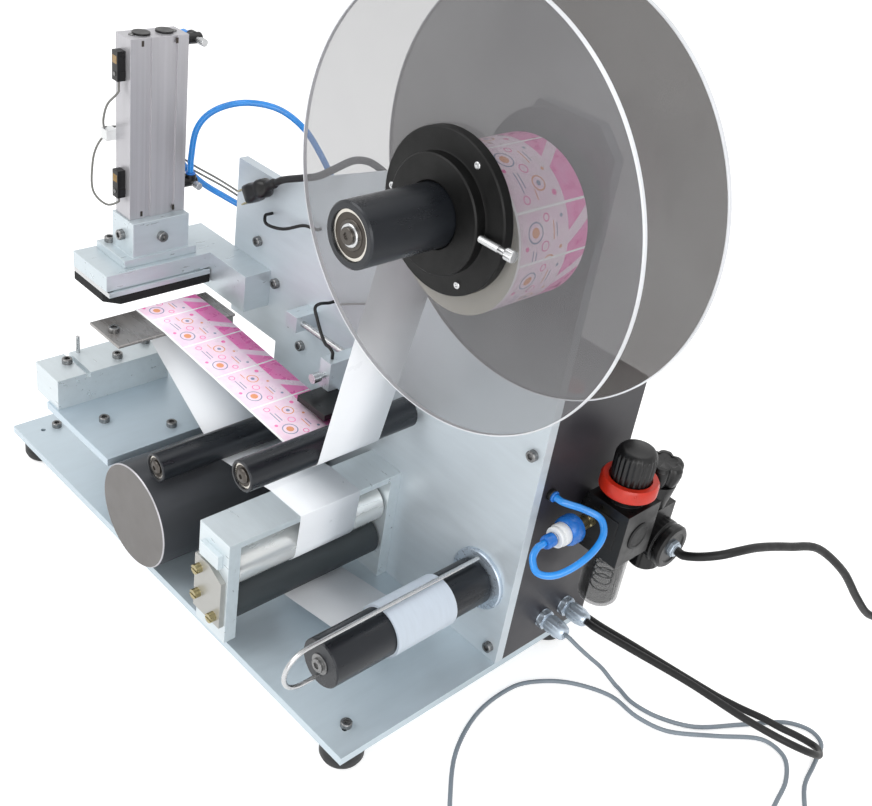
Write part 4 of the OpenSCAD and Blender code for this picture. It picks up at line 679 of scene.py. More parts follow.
def air_hose():
    points = HOSE + coil(HOSE, HOSE_D, r_out=57.4, turns=5, tail=31.4, end_r=7)
    cord = cord_curve("air_hose", points, HOSE_D, "soft_black")
    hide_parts("hose_run", "hose_coil")
    place = end_frame(points)
    base, axis = place @ Vector((0.3, 0, 0)), place.to_3x3() @ X
    f = Form()
    f.solid(base, axis, [(6.4, 0), (7, 0.8, HEX), (7, 9, HEX), (6.4, 9.8), (5.6, 10), (5.6, 16),
        (4.5, 16.5), (4.5, 24), (3.6, 25.5), (3.6, 27.5), (4.5, 29), (4.3, 33), (3.4, 34), (2, 34),
        (2, 28)], "nickel", 72)
    end = f.piece("hose_fitting", body="frame", bevel=0.2)
    run_length(cord)


mains_lead()
control_cable()
air_hose()

# Base and housing

BASE_LEN, BASE_DEPTH, FOOT_INSET = 545.0, 300.0, 22.0
PLATE_Y, PLATE_T = 178.0, 10.0
PLATE_BACK = PLATE_Y + PLATE_T
PLATE_LEFT, BOX_H, BUTTON_AT = -343.0, 265.0, (-18.0, 222.0)
GLANDS_Y, GLANDS_Z, OUTLET = (235.0, 265.0), 26.0, Vector((20, 236, 154))
TABLE_TOP, BLOCK_TOP = 92.0, 124.0
BASE_SCREWS = [(-24, 25), (-BASE_LEN + 23, 37), (-24, BASE_DEPTH - 44), (-BASE_LEN + 95, 210)]
TABLE_SCREWS, BLOCK_SCREWS = [(-389, 17), (-350, 66)], [(-452, 14), (-438, 60), (-450, 98)]
PEEL_SCREW = (-384.5, 25, 190)
PLATE_SCREWS = [(-303, 173), (-348, 219), (-10, 224), (-10, 14), (-379, 250)]
PRESS_SCREWS = [((-442, 68, 253), -Y), ((-424, 98, 253), X), ((-465, 68, 236), Z)]


def base_and_plate():
    dress("base_plate", "base", 0.7)
    dress("side_plate", "plate", 0.6)
    f = Form()
    for x in (-BASE_LEN + FOOT_INSET, -FOOT_INSET):
        for y in (FOOT_INSET, BASE_DEPTH - FOOT_INSET):
            f.solid((x, y, FLOOR_Z), Z, [(5, 1.5), (6, 0), (15.4, 0), (17.2, 1.2), (19, 5), (19, 17.5),
                (18.2, 20), (17.4, 22)], "foot", 72)
            f.ring((x, y, FLOOR_Z + 10.5), Z, 18.4, 19.0, 1.2, "soft_black", 72)
    f.look("rubber_feet", 0.5)
    dress("control_box", "box", 0.9, segments=3)
    f = Form()
    for z, spots in ((0, BASE_SCREWS), (TABLE_TOP, TABLE_SCREWS), (BLOCK_TOP, BLOCK_SCREWS)):
        for x, y in spots:
            f.screw((x, y, z))
    f.screw(PEEL_SCREW)
    for x, z in PLATE_SCREWS:
        f.screw((x, PLATE_Y, z), -Y)
    for spot, axis in PRESS_SCREWS:
        f.screw(spot, axis)
    f.look("frame_screws", 0.15)


def gland(f, y):
    """A cable gland: a hexagon body and its ribbed, domed nut."""
    f.solid((0, y, GLANDS_Z), X, [(9.4, 0), (10, 0.6, HEX), (10, 5.2, HEX), (9.2, 6), (7, 6), (7, 9)],
        "nickel", 72)
    grip = ribs(12, 0.07)
    f.solid((8.6, y, GLANDS_Z), X, [(7.8, 0), (8.5, 0.7, grip), (8.5, 12, grip), (7.9, 14), (7.0, 17.6),
        (5.6, 19.4), (4.2, 19.4), (3.2, 18.6)], "nickel", 72)


def housing_fittings():
    f = Form()
    for y in GLANDS_Y:
        gland(f, y)
    f.turn((*BUTTON_AT, BOX_H), Z, [(9.1, 0), (13, 0), (13, 3.4), (11.8, 5), (9.9, 5), (9.1, 4.2)],
        "nickel", 64, True)
    f.look("cable_glands", 0.25)
    f = Form()
    f.turn((*BUTTON_AT, BOX_H - 6), Z, [(0, 0), (8.9, 0), (8.9, 12.4), (8.4, 13.8), (7.2, 14.6),
        (4, 14.95), (0, 15)], "red", 64)
    f.look("stop_button", 0.2)
    f = Form()
    ring = OUTLET - 4 * Y
    f.solid(OUTLET, -Y, [(7.5, 0, HEX), (7.5, 6, HEX), (6.4, 7), (6.4, 9), (7.4, 9.4, HEX),
        (7.4, 19.4, HEX), (6.6, 20)], "brass", 72)
    f.solid(ring, -Y, [(11, 16), (12.6, 17), (13, 18.5), (13, 26), (12.2, 28.4), (10.6, 30)],
        "blue_part", 72)
    f.solid(ring, -Y, [(9.6, 30), (10, 30.6), (10, 36), (9.4, 37), (8.6, 37.2), (8.6, 38.8), (9.4, 39.2),
        (9.4, 41), (8.6, 42)], "white_part", 72)
    f.solid(ring, -Y, [(5.4, 42), (5.4, 44), (6, 44.6), (6, 52), (5.2, 54), (3.2, 54), (3.2, 50)],
        "blue_part", 64)
    f.ring(ring - 43.0 * Y, -Y, 5.2, 6.0, 1.0, "steel", 64)

    def collet(base, axis):
        f.solid(base, axis, [(5.5, 0), (5.5, 3.2), (4.9, 3.8)], "plastic", 48)
        f.solid(base, axis, [(4.4, 3.6), (4.9, 4.4), (4.9, 5.4), (4.5, 6), (3.2, 6), (3.2, 5.6)],
            "blue_part", 48)

    collet((-328, 244, BOX_H), Z)
    collet((PLATE_LEFT, 214, 245), -X)
    collet((0, 199, 183), X)
    f.look("air_fittings", 0.2)


base_and_plate()
housing_fittings()

# Reel

DISC_R, DISC_T, RIM_W = 149.98, 3.0, 1.1
FRONT_DISC, REAR_DISC = 53.8, 136.3
SLEEVE_FRONT, SLEEVE_END = -30.0, 166.0
SLEEVE_R, SLEEVE_BORE_R, SHAFT_R = 21.0, 16.05, 7.5
FLANGE_R, COLLAR_R, FLANGE_T = 54.0, 39.0, 7.8
CLAMP_Y, CLAMP_LEN, THREAD_PITCH, THREAD_TURNS = 41.5, 39.7, 0.8, 42
PIN_R, PIN_DEGREES = 46.5, (60, 180, 300)
WEB_Y, WEB_W, WEB_T = 62.0, 66.0, 0.4
CORE_BORE_R, CORE_R, ROLL_R = 38.0, 41.0, 55.0
WINDINGS = ((CORE_R, 45.5, 0.25), (45.5, 50, 0.0), (50, 54.6, 0.15))
RECESS, AXLE_R, DRUM_AXLE_R = 1.5, 4.0, 6.0


def clear_sheet(node, y, bore, finish):
    """A clear disc whose cut edge is painted near white, as a painted highlight."""
    f = Form()
    c = (REEL_X, y, REEL_Z)
    rim = DISC_R - RIM_W
    f.turn(c, Y, [(bore, 0), (rim, 0), (rim, DISC_T), (bore, DISC_T)], finish, 192, True)
    f.turn(c, Y, [(rim, 0), (DISC_R - 0.3, 0), (DISC_R, 0.4), (DISC_R, DISC_T - 0.4),
        (DISC_R - 0.3, DISC_T), (rim, DISC_T)], "sheet_rim_highlight", 192, True)
    f.look(node, 0)


def reel():
    def c(y):
        return REEL_X, y, REEL_Z
    f = Form()
    f.rod(c(SLEEVE_FRONT), Y, SHAFT_R, PLATE_BACK - SLEEVE_FRONT, "steel", 64, 0.6)
    f.ring(c(PLATE_Y - 8), Y, SHAFT_R, 30, 8, "steel", 96, 0.8)
    f.turn(c(PLATE_BACK), Y, [(SHAFT_R, 0), (13, 0, HEX), (13, 8, HEX), (SHAFT_R, 8)], "steel", 72, True)
    f.turn(c(SLEEVE_FRONT), -Y, [(0, 0), (5.5, 0), (5.5, 1.4), (4.9, 2), (2.5, 2, HEX), (2.4, 1, HEX),
        (0, 0.9)], "dark_screw", 48)
    f.look("reel_shaft", 0.2)
    f = Form()
    f.turn(c(SLEEVE_FRONT), Y, [(SLEEVE_BORE_R, 0), (19.8, 0), (SLEEVE_R, 1.2),
        (SLEEVE_R, SLEEVE_END - SLEEVE_FRONT - 1), (20, SLEEVE_END - SLEEVE_FRONT),
        (SLEEVE_BORE_R, SLEEVE_END - SLEEVE_FRONT)], "black_alu", 96, True)
    f.look("reel_sleeve", 0.25)
    f = Form()
    y = REAR_DISC + DISC_T
    f.turn(c(y), Y, [(21.1, 0), (53.2, 0), (FLANGE_R, 0.8), (FLANGE_R, FLANGE_T - 0.8), (53.2, FLANGE_T),
        (COLLAR_R, FLANGE_T), (COLLAR_R, 13.2), (38.2, 14), (21.1, 14)], "flange_black", 128, True)
    f.look("rear_flange", 0.25)
    clear_sheet("rear_disc", REAR_DISC, SLEEVE_R, "rear_sheet")
    clear_sheet("front_disc", FRONT_DISC, SLEEVE_R + 0.05, "front_sheet")
    f = Form()
    f.turn(c(FRONT_DISC), -Y, [(21.05, 0), (FLANGE_R, 0), (FLANGE_R, FLANGE_T - 1), (53, FLANGE_T),
        (41, FLANGE_T), (COLLAR_R, FLANGE_T + 0.8), (COLLAR_R, 15.8), (38, 16.8), (22.2, 16.8),
        (21.05, 15.8)], "flange_black", 128, True)
    for a in map(radians, PIN_DEGREES):
        f.solid((REEL_X + PIN_R * cos(a), FRONT_DISC - FLANGE_T + 0.2, REEL_Z + PIN_R * sin(a)), -Y,
            [(2.5, 0), (2.5, 0.9), (2.1, 1.35), (1.2, 1.35, HEX), (1.1, 0.6, HEX)], "steel", 36)
    f.look("front_flange", 0.25)
    f = Form()
    thread, grip = [(0, 0)], ribs(20, 0.08)
    for k in range(THREAD_TURNS):
        thread += [(2.5, 0.6 + THREAD_PITCH * k), (2.15, 1.0 + THREAD_PITCH * k)]
    x0 = REEL_X + SLEEVE_R + 0.3
    f.turn((x0, CLAMP_Y, REEL_Z), X, thread + [(2.4, 34.4), (2.4, CLAMP_LEN), (0, CLAMP_LEN)], "steel", 32)
    f.turn((x0 + CLAMP_LEN, CLAMP_Y, REEL_Z), X, [(0, 0), (3.3, 0), (4, 0.7, grip), (4, 6.2, grip),
        (3.4, 6.9), (0, 7)], "steel", 80)
    f.look("clamp_screw", 0.1)


def label_roll():
    c = (REEL_X, WEB_Y, ROLL_Z)
    f = Form()
    f.turn(c, Y, [(CORE_BORE_R, 0), (CORE_R, 0), (CORE_R, WEB_W), (CORE_BORE_R, WEB_W)], "card", 96, True)
    for r0, r1, h in WINDINGS:
        f.turn(c, Y, [(r0, h), (r1, h), (r1, WEB_W - h), (r0, WEB_W - h)], "paper_edge", 128, True)
    outer = WINDINGS[-1][1]
    f.turn(c, Y, [(outer, 0), (ROLL_R, 0)], "paper_edge", 160)
    f.turn(c, Y, [(ROLL_R, 0), (ROLL_R, WEB_W)], "label_print", 160, arc=2 * pi * ROLL_R)
    f.turn(c, Y, [(ROLL_R, WEB_W), (outer, WEB_W)], "paper_edge", 160)
    f.look("label_roll", 0)


def bearings():
    f = Form()
    for y in (SLEEVE_FRONT + RECESS, SLEEVE_END - RECESS - 9):
        f.bearing((REEL_X, y, REEL_Z), 16.0, SHAFT_R, 9)
    for x, z in (IDLER_1, IDLER_2):
        for y in (ROLLER_FRONT + RECESS, ROLLER_END - RECESS - 7):
            f.bearing((x, y, z), 11, AXLE_R, 7)
    for y in (24, ROLLER_END - 8):
        f.bearing((DRUM[0], y, DRUM[1]), 14, DRUM_AXLE_R, 8)
    f.look("ball_bearings", 0)


# Rollers

IDLER_1, IDLER_2, DRUM = (-268.0, 121.0), (-147.0, 189.0), (-290.0, 56.0)
ROLLER_FRONT, ROLLER_END = -4.0, 172.0
IDLER_R, DRUM_R, DRUM_FRONT = 13.5, 50.0, -12.0
NIP_LEFT, NIP_RIGHT, NIP_TOP = -190.0, -148.0, 119.0
COVER_FRONT, COVER_TOP = -15.05, 90.2
FACE_FRONT, FACE_END, JOURNAL_R, JOURNAL_FRONT = 3.5, 164.5, 6.0, -9.7
ROLLER_X, DRIVE_Z, PRESS_Z, ROLLER_R = -169.0, 40.9, 79.94, 19.0
WASTE, WASTE_R, WASTE_LEN = (-37.6, 74.5), 21.3, 172.0
WASTE_LAYERS, WASTE_PAPER, LINER_END_R = 5, 2.2, 29.1
CLIP_ANGLE, CLIP_R, CLIP_FRONT = radians(88), 1.99, -15.98
CLIP_IN, CLIP_OUT, CLIP_IN_END, CLIP_OUT_END, BEND_STEPS = 13.0, 26.5, 60.0, 170.0, 24
PULLEY_Y = 193.0
MOTOR = (-262.0, 92.0)


def rollers():
    length = ROLLER_END - ROLLER_FRONT
    for k, (x, z) in enumerate((IDLER_1, IDLER_2), 1):
        f = Form()
        f.turn((x, ROLLER_FRONT, z), Y, [(11.05, 0), (12.7, 0), (IDLER_R, 0.8), (IDLER_R, length - 0.8),
            (12.7, length), (11.05, length)], "black_alu", 96, True)
        f.look(f"idler_{k}", 0.15)
    f = Form()
    for x, z in (IDLER_1, IDLER_2):
        front = ROLLER_FRONT + RECESS
        f.rod((x, front, z), Y, AXLE_R, PLATE_BACK - front, "steel", 48)
        f.ring((x, ROLLER_END - RECESS, z), Y, AXLE_R, 7, PLATE_Y - ROLLER_END + RECESS, "steel", 48, 0.3)
        f.turn((x, front, z), -Y, [(0, 0), (6.5, 0), (6.5, 0.7), (5.6, 1.8), (4.2, 2.5), (2.3, 2.5, HEX),
            (2.2, 1.2, HEX), (0, 1.1)], "dark_screw", 48)
    x, z = DRUM
    f.rod((x, 23, z), Y, DRUM_AXLE_R, PLATE_BACK - 23, "steel", 48)
    f.ring((x, ROLLER_END + 0.3, z), Y, DRUM_AXLE_R, 9.5, PLATE_Y - ROLLER_END - 0.3, "steel", 48, 0.3)
    f.look("roller_axles", 0.15)
    f = Form()
    back = ROLLER_END - DRUM_FRONT
    start, r = (x, DRUM_FRONT, z), DRUM_R
    f.turn(start, Y, [(0, 0), (r - 1, 0)], "drum_end", 160)
    # The rim chamfer is painted in the lighter cylinder finish as a painted highlight round the drum's
    # front edge.
    f.turn(start, Y, [(r - 1, 0), (r, 1)], "cylinder", 160)
    f.turn(start, Y, [(r, 1), (r, back - 1), (r - 0.8, back), (46, back), (46, back - 8),
        (14.05, back - 8), (14.05, 36), (46, 36), (46, 5), (0, 5)], "drum_side", 160)
    f.look("drum", 0)


def nip():
    dress("nip_frame", "block", 0.6)
    f = Form()
    f.cad("nip_cover", "cover", lambda p, n: "brass" if p.y < COVER_FRONT or (n.y > -0.5 and p.y < -15)
        else ("block" if p.z > COVER_TOP else None))
    f.look("nip_cover", 0.35)
    f = Form()
    length = FACE_END - FACE_FRONT
    f.solid((ROLLER_X, FACE_FRONT, PRESS_Z), Y, [(18.2, 0), (ROLLER_R, 0.8), (ROLLER_R, length - 0.8),
        (18.2, length)], "roller_steel", 128)
    f.rod((ROLLER_X, JOURNAL_FRONT, PRESS_Z), Y, JOURNAL_R, 187.4, "steel", 48, 0.5)
    f.look("press_roller", 0.15)
    f = Form()
    f.solid((ROLLER_X, FACE_FRONT, DRIVE_Z), Y, [(9, 0), (9, 0.6), (18.4, 0.6), (ROLLER_R, 1.2),
        (ROLLER_R, length - 1.2), (18.4, length - 0.6)], "rubber", 128)
    f.rod((ROLLER_X, JOURNAL_FRONT, DRIVE_Z), Y, JOURNAL_R, PULLEY_Y - JOURNAL_FRONT, "steel", 48, 0.5)
    toothed_pulley(f, ROLLER_X, DRIVE_Z, 18, 24)
    f.rod((ROLLER_X, PULLEY_Y, DRIVE_Z), Y, 3, 12, "steel", 32, 0.3)
    f.look("drive_roller", 0.15)
    f = Form()
    toothed_pulley(f, MOTOR[0], MOTOR[1], 15, 20)
    f.rod((MOTOR[0], PULLEY_Y + 10, MOTOR[1]), Y, 5, 4.7, "steel", 32)
    f.look("motor_pulley", 0.15)
    dress("drive_belt", "belt", 0.2)
    dress("box_units", "motor", 0.8)


def toothed_pulley(f, x, z, r, teeth):
    """A pulley with one rounded rib for each tooth, between two rims."""
    tooth = ribs(teeth, 0.06)
    f.solid((x, PULLEY_Y, z), Y, [(r, 0), (r, 1.2), (r - 0.1, 1.3, tooth), (r - 0.1, 9.7, tooth),
        (r, 9.8), (r, 11)], "motor", teeth * 6)


def waste_reel():
    x, z = WASTE
    f = Form()
    f.solid((x, 0, z), Y, [(20.3, 0), (WASTE_R, 1), (WASTE_R, WASTE_LEN - 1), (20.5, WASTE_LEN)],
        "black_alu", 112)
    f.rod((x, WASTE_LEN, z), Y, 6, PLATE_BACK - WASTE_LEN, "steel", 48)
    f.turn((x, 0, z), -Y, [(0, 0), (9, 0), (9, 0.9), (6, 1.1), (6, 3.4), (5.3, 4), (3.2, 4, HEX),
        (3.1, 2, HEX), (0, 1.9)], "screw", 48)
    f.look("waste_roller", 0.15)
    f = Form()
    f.turn((x, PLATE_Y - 4, z), Y, [(6.3, 0), (28, 0), (29, 1), (29, 4), (6.3, 4)], "nickel", 112, True)
    f.look("waste_flange", 0.2)
    f = Form()
    for k in range(WASTE_LAYERS):
        r0, r1 = (WASTE_R + WASTE_PAPER * j / WASTE_LAYERS for j in (k, k + 1))
        inset = 0.5 * abs(sin(2.3 * k + 0.4)) * (k < WASTE_LAYERS - 1)
        f.turn((x, WEB_Y, z), Y, [(r0, inset), (r1, inset), (r1, WEB_W - inset), (r0, WEB_W - inset)],
            "waste", 112, True)
    f.look("waste_paper", 0)
    mid, bend = (CLIP_OUT - CLIP_IN) / 2, (CLIP_OUT + CLIP_IN) / 2

    def leg(r, y):
        return x + r * cos(CLIP_ANGLE), y, z + r * sin(CLIP_ANGLE)

    path = [leg(CLIP_OUT, CLIP_OUT_END)]
    for k in range(BEND_STEPS + 1):
        a = pi * k / BEND_STEPS
        path.append(leg(mid + bend * cos(a), CLIP_FRONT - bend * sin(a)))
    path.append(leg(-CLIP_IN, CLIP_IN_END))
    f = Form()
    f.tube(path, CLIP_R, "steel", 24, 1)
    f.look("waste_clip", 0)


# Webs

HALF_WEB = 0.3 + WEB_T / 2
PEEL_LEFT, PEEL_RIGHT, PEEL_TOP, PEEL_T = -410.0, -359.0, 190.0, 3.0


def web_path(circles):
    """The line of a web over circles, each (centre, radius, side): straight runs and arcs."""
    runs = []
    for (c0, r0, s0), (c1, r1, s1) in zip(circles, circles[1:]):
        d = c1 - c0
        t = d / abs(d) * cmath.exp(1j * asin((s0 * r0 - s1 * r1) / abs(d)))
        n = -1j * t
        runs.append((c0 + s0 * r0 * n, c1 + s1 * r1 * n))
    line = [runs[0][0]]
    for (c, r, s), (_, p), (q, _) in zip(circles[1:-1], runs, runs[1:]):
        a0, a1 = cmath.phase(p - c), cmath.phase(q - c)
        da = (a1 - a0) % (2 * pi) if s > 0 else -((a0 - a1) % (2 * pi))
        if abs(da) > radians(350):
            da = 0
        steps = max(1, ceil(abs(degrees(da)) / 4))
        line += [c + r * cmath.exp(1j * (a0 + da * k / steps)) for k in range(steps + 1)]
    line.append(runs[-1][1])
    return [p for i, p in enumerate(line) if i == 0 or abs(p - line[i - 1]) > 0.02]


def ribbon(f, line, over, under):
    """A web with its printed side over the line and its liner side under it."""
    def normal(i):
        t = line[min(i + 1, len(line) - 1)] - line[max(i - 1, 0)]
        return -1j * t / abs(t)

    length, top, low, run = 0.0, [], [], []
    for i, p in enumerate(line):
        length += abs(p - line[i - 1]) if i else 0
        run.append(length * MM)
        for rows, sign in ((top, 1), (low, -1)):
            q = p + sign * normal(i) * WEB_T / 2
            rows.append([f.bm.verts.new((q.real, WEB_Y + y, q.imag)) for y in (0, WEB_W)])
    a, b = f.slot(over), f.slot(under)
    w = WEB_W * MM
    for i in range(len(line) - 1):
        uv = [(run[i], 0), (run[i + 1], 0), (run[i + 1], w), (run[i], w)]
        f.face([top[i][0], top[i + 1][0], top[i + 1][1], top[i][1]], a, uv)
        f.face([low[i][0], low[i + 1][0], low[i + 1][1], low[i][1]][::-1], b, uv[::-1])
        f.face([top[i][0], low[i][0], low[i + 1][0], top[i + 1][0]], b)
        f.face([top[i][1], low[i][1], low[i + 1][1], top[i + 1][1]][::-1], b)
    for i in (0, len(line) - 1):
        f.face([top[i][0], top[i][1], low[i][1], low[i][0]], b)


def webs():
    lip, nose = (((complex(x, PEEL_TOP - PEEL_T / 2)), PEEL_T / 2 + HALF_WEB, 1)
        for x in (PEEL_RIGHT - PEEL_T / 2, PEEL_LEFT + PEEL_T / 2))
    line = web_path([(complex(REEL_X, ROLL_Z), ROLL_R + HALF_WEB, 1),
        (complex(*IDLER_2), IDLER_R + HALF_WEB, -1), lip, nose])
    f = Form()
    ribbon(f, line, "label_print", "liner")
    f.look("label_web", 0, outward=False)
    line = web_path([lip, nose, (complex(*IDLER_1), IDLER_R + HALF_WEB, 1),
        (complex(NIP_LEFT, NIP_TOP), HALF_WEB, -1), (complex(NIP_RIGHT, NIP_TOP), HALF_WEB, -1),
        (complex(NIP_RIGHT, NIP_TOP - 6), HALF_WEB, -1),
        (complex(ROLLER_X, PRESS_Z), ROLLER_R + HALF_WEB, -1),
        (complex(ROLLER_X, DRIVE_Z), ROLLER_R + HALF_WEB, 1), (complex(*WASTE), LINER_END_R, 1)])
    f = Form()
    ribbon(f, line[2:], "liner", "liner")
    f.look("liner_web", 0, outward=False)


reel()
label_roll()
bearings()
rollers()
nip()
waste_reel()
webs()

# Peel station and press head

ROD_X, CYL_LOW, CYL_TOP = -445.0, 270.0, 436.0
REED_Z, ELBOW_Y, ELBOW_LOW, ELBOW_HIGH = (290.0, 398.0), 142.0, 292.0, 428.0


def peel_station():
    dress("peel_table", "table", 0.6)
    dress("peel_block", "block", 0.6, lambda p, n: "steel" if p.z > BLOCK_TOP + 0.5 else None)
    dress("peel_plate", "peel", 0.3, lambda p, n: "cover" if p.z < PEEL_TOP - PEEL_T - 0.5 else None)


def press_head():
    dress("press_arm", "arm", 0.6)
    dress("cylinder_block", "arm", 0.6)
    f = Form()
    f.cad("cylinder_body", "cylinder", lambda p, n: "plastic" if p.z > CYL_TOP + 0.1 else None)
    for z, h in ((CYL_LOW, 9), (CYL_TOP - 9, 9)):
        for y in (82, 116):
            f.block((-433.4, y - 1.2, z + 2), (-432.6, y + 1.2, z + h - 2), "shield")
    for y in (78, 120):
        f.turn((ROD_X, y, CYL_TOP), Z, [(0, 0), (2.6, 0), (2.6, 0.8), (2.2, 1.2), (1.3, 1.2, HEX),
            (0, 0.5)], "screw", 36)
    f.look("cylinder_body", 0.3)
    dress("press_rod", "steel", 0.4, lambda p, n: "arm" if p.z < 212 and abs(p.x - ROD_X) > 6 else None)
    dress("press_pad", "foam", 0.9, segments=3)
    f = Form()
    for z in REED_Z:
        f.block((-449.5, 62, z), (-440.5, 69.9, z + 26), "plastic")
        f.block((-448.3, 61.8, z + 15), (-441.7, 62.4, z + 22), "amber")
        f.block((-449.9, 64, z + 3), (-440.1, 69.9, z + 9), "soft_black")
        f.turn((ROD_X, 62, z + 6), -Y, [(0, 0), (1.9, 0), (1.9, 0.7), (1.2, 0.9), (0, 0.6)], "screw", 24)
    for z in (ELBOW_LOW, ELBOW_HIGH):
        f.solid((ROD_X, 128, z), Y, [(5.6, 0, HEX), (5.6, 4, HEX), (4.6, 4.4), (4.6, 5.2), (5, 5.6),
            (5, 19), (4.2, 20)], "plastic", 72)
        f.solid((ROD_X, 128, z), Y, [(5.8, 0, HEX), (5.8, 3.4, HEX)], "nickel", 72)
        grip = ribs(20, 0.08)
        f.solid((-441, ELBOW_Y, z), X, [(2.4, 0), (2.4, 4), (3.5, 4.6, grip), (3.5, 11.4, grip),
            (3, 12)], "steel", 80)
    for z, axis in ((ELBOW_LOW, Z), (ELBOW_HIGH, -X)):
        base = (ROD_X, ELBOW_Y, z)
        f.solid(base, axis, [(5.5, 0), (5.5, 6.6), (4.9, 7.2)], "plastic", 48)
        f.solid(base, axis, [(4.3, 7), (4.8, 7.6), (4.8, 8.5), (4.4, 9), (3.2, 9), (3.2, 8.4)],
            "blue_part", 48)
    f.block((-466.5, 60.5, 339), (-456.4, 71, 349), "white_part")
    f.look("cylinder_fittings", 0.25)


TUBE_A = [(-445, 142, 301), (-445, 142, 312), (-446, 148, 342), (-438, 161, 361), (-418, 180, 373),
    (-396, 202, 372), (-378, 220, 357), (-364, 232, 334), (-348, 240, 308), (-334, 243, 292),
    (-328, 244, 281), (-328, 244, 271)]
TUBE_B = [(-454, 142, 428), (-463, 142, 428), (-472, 141, 418), (-474, 138, 394), (-473, 138, 362),
    (-470, 139, 330), (-463, 144, 304), (-450, 158, 286), (-436, 178, 272), (-416, 197, 260),
    (-388, 210, 250), (-366, 214, 246), (-356, 214, 245), (-349, 214, 245)]
TUBE_C = [(20, 178, 154), (20, 170, 154), (23, 162, 148), (33, 158, 142), (44, 166, 143), (51, 182, 150),
    (53, 200, 159), (50, 213, 168), (40, 219, 175), (27, 212, 179), (18, 203, 182), (12, 199, 183),
    (6, 199, 183)]
REED_A = [(-445, 66, 398), (-445, 66, 388), (-450, 58, 376), (-450, 54, 364), (-455, 57, 354),
    (-465, 64, 349), (-471, 80, 345), (-474, 104, 338), (-476, 122, 328), (-474, 140, 312),
    (-464, 158, 298), (-448, 176, 287), (-428, 194, 274), (-402, 208, 262), (-370, 216, 256),
    (-352, 217, 254), (-343, 217, 254)]
REED_B = [(-445, 66, 290), (-445, 66, 285), (-452, 57, 281), (-463, 50, 292), (-466, 52, 318),
    (-464, 56, 334), (-467, 66, 340), (-473, 84, 338), (-477, 106, 331), (-479, 124, 320),
    (-476, 144, 302), (-464, 164, 289), (-446, 184, 277), (-424, 200, 265), (-398, 213, 257),
    (-370, 220, 253), (-352, 221, 252), (-343, 221, 252)]
HEAD_LEAD = [(-262, 178, 241), (-262, 171, 241), (-262, 160, 243), (-258, 151, 243), (-248, 146, 238),
    (-236, 142, 230), (-226, 139, 226), (-218, 137, 227), (-213, 137, 224), (-213, 137, 218.4)]
PLATE_LEAD = [(-362, 178, 286), (-362, 170, 286), (-352, 164, 282), (-330, 166, 286), (-308, 170, 298),
    (-296, 172, 300), (-292, 174, 300), (-292, 178, 300)]
SIDE_LEAD = [(-252, 178, 243), (-252, 174, 243), (-244, 173, 248), (-226, 173, 257), (-208, 173, 266),
    (-200, 174, 270), (-200, 178, 270)]


def tubes_and_leads():
    f = Form()
    for route in (TUBE_A, TUBE_B, TUBE_C):
        f.tube(route, 3, "blue_tube", 20, 6)
    f.look("blue_tubes", 0)
    f = Form()
    f.tube(PLATE_LEAD, 1.5, "soft_black", 12, 6)
    for route in (REED_A, REED_B, SIDE_LEAD):
        f.tube(route, 1, "grey_wire", 10, 6)
    f.look("signal_leads", 0)
    f = Form()
    f.tube(HEAD_LEAD, 1.5, "soft_black", 12, 6)
    lead = f.piece("look_head_lead", [], body="frame", bevel=0)
    lead.parent = None
    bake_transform(lead)


def sensor():
    dress("sensor_rods", "steel", 0.3, lambda p, n: "arm" if p.x < -282 else None)
    dress("sensor_bracket", "arm", 0.4, lambda p, n: "steel" if p.y < 130 else None)
    dress("label_sensor", "plastic", 0.6, segments=3)


peel_station()
press_head()
tubes_and_leads()
sensor()

# Air unit

REG_X, REG_Y, REG_LOW, REG_HIGH = 34.0, 258.0, 124.0, 178.0
VALVE_Y, VALVE_LOW, VALVE_KNOB_Z = 306.0, 122.0, 177.0
COUPLER = (36.0, 311.0, 117.5)
BOWL_LEN, SPRING_LEN, SPRING_TURNS = 60.0, 44.0, 6


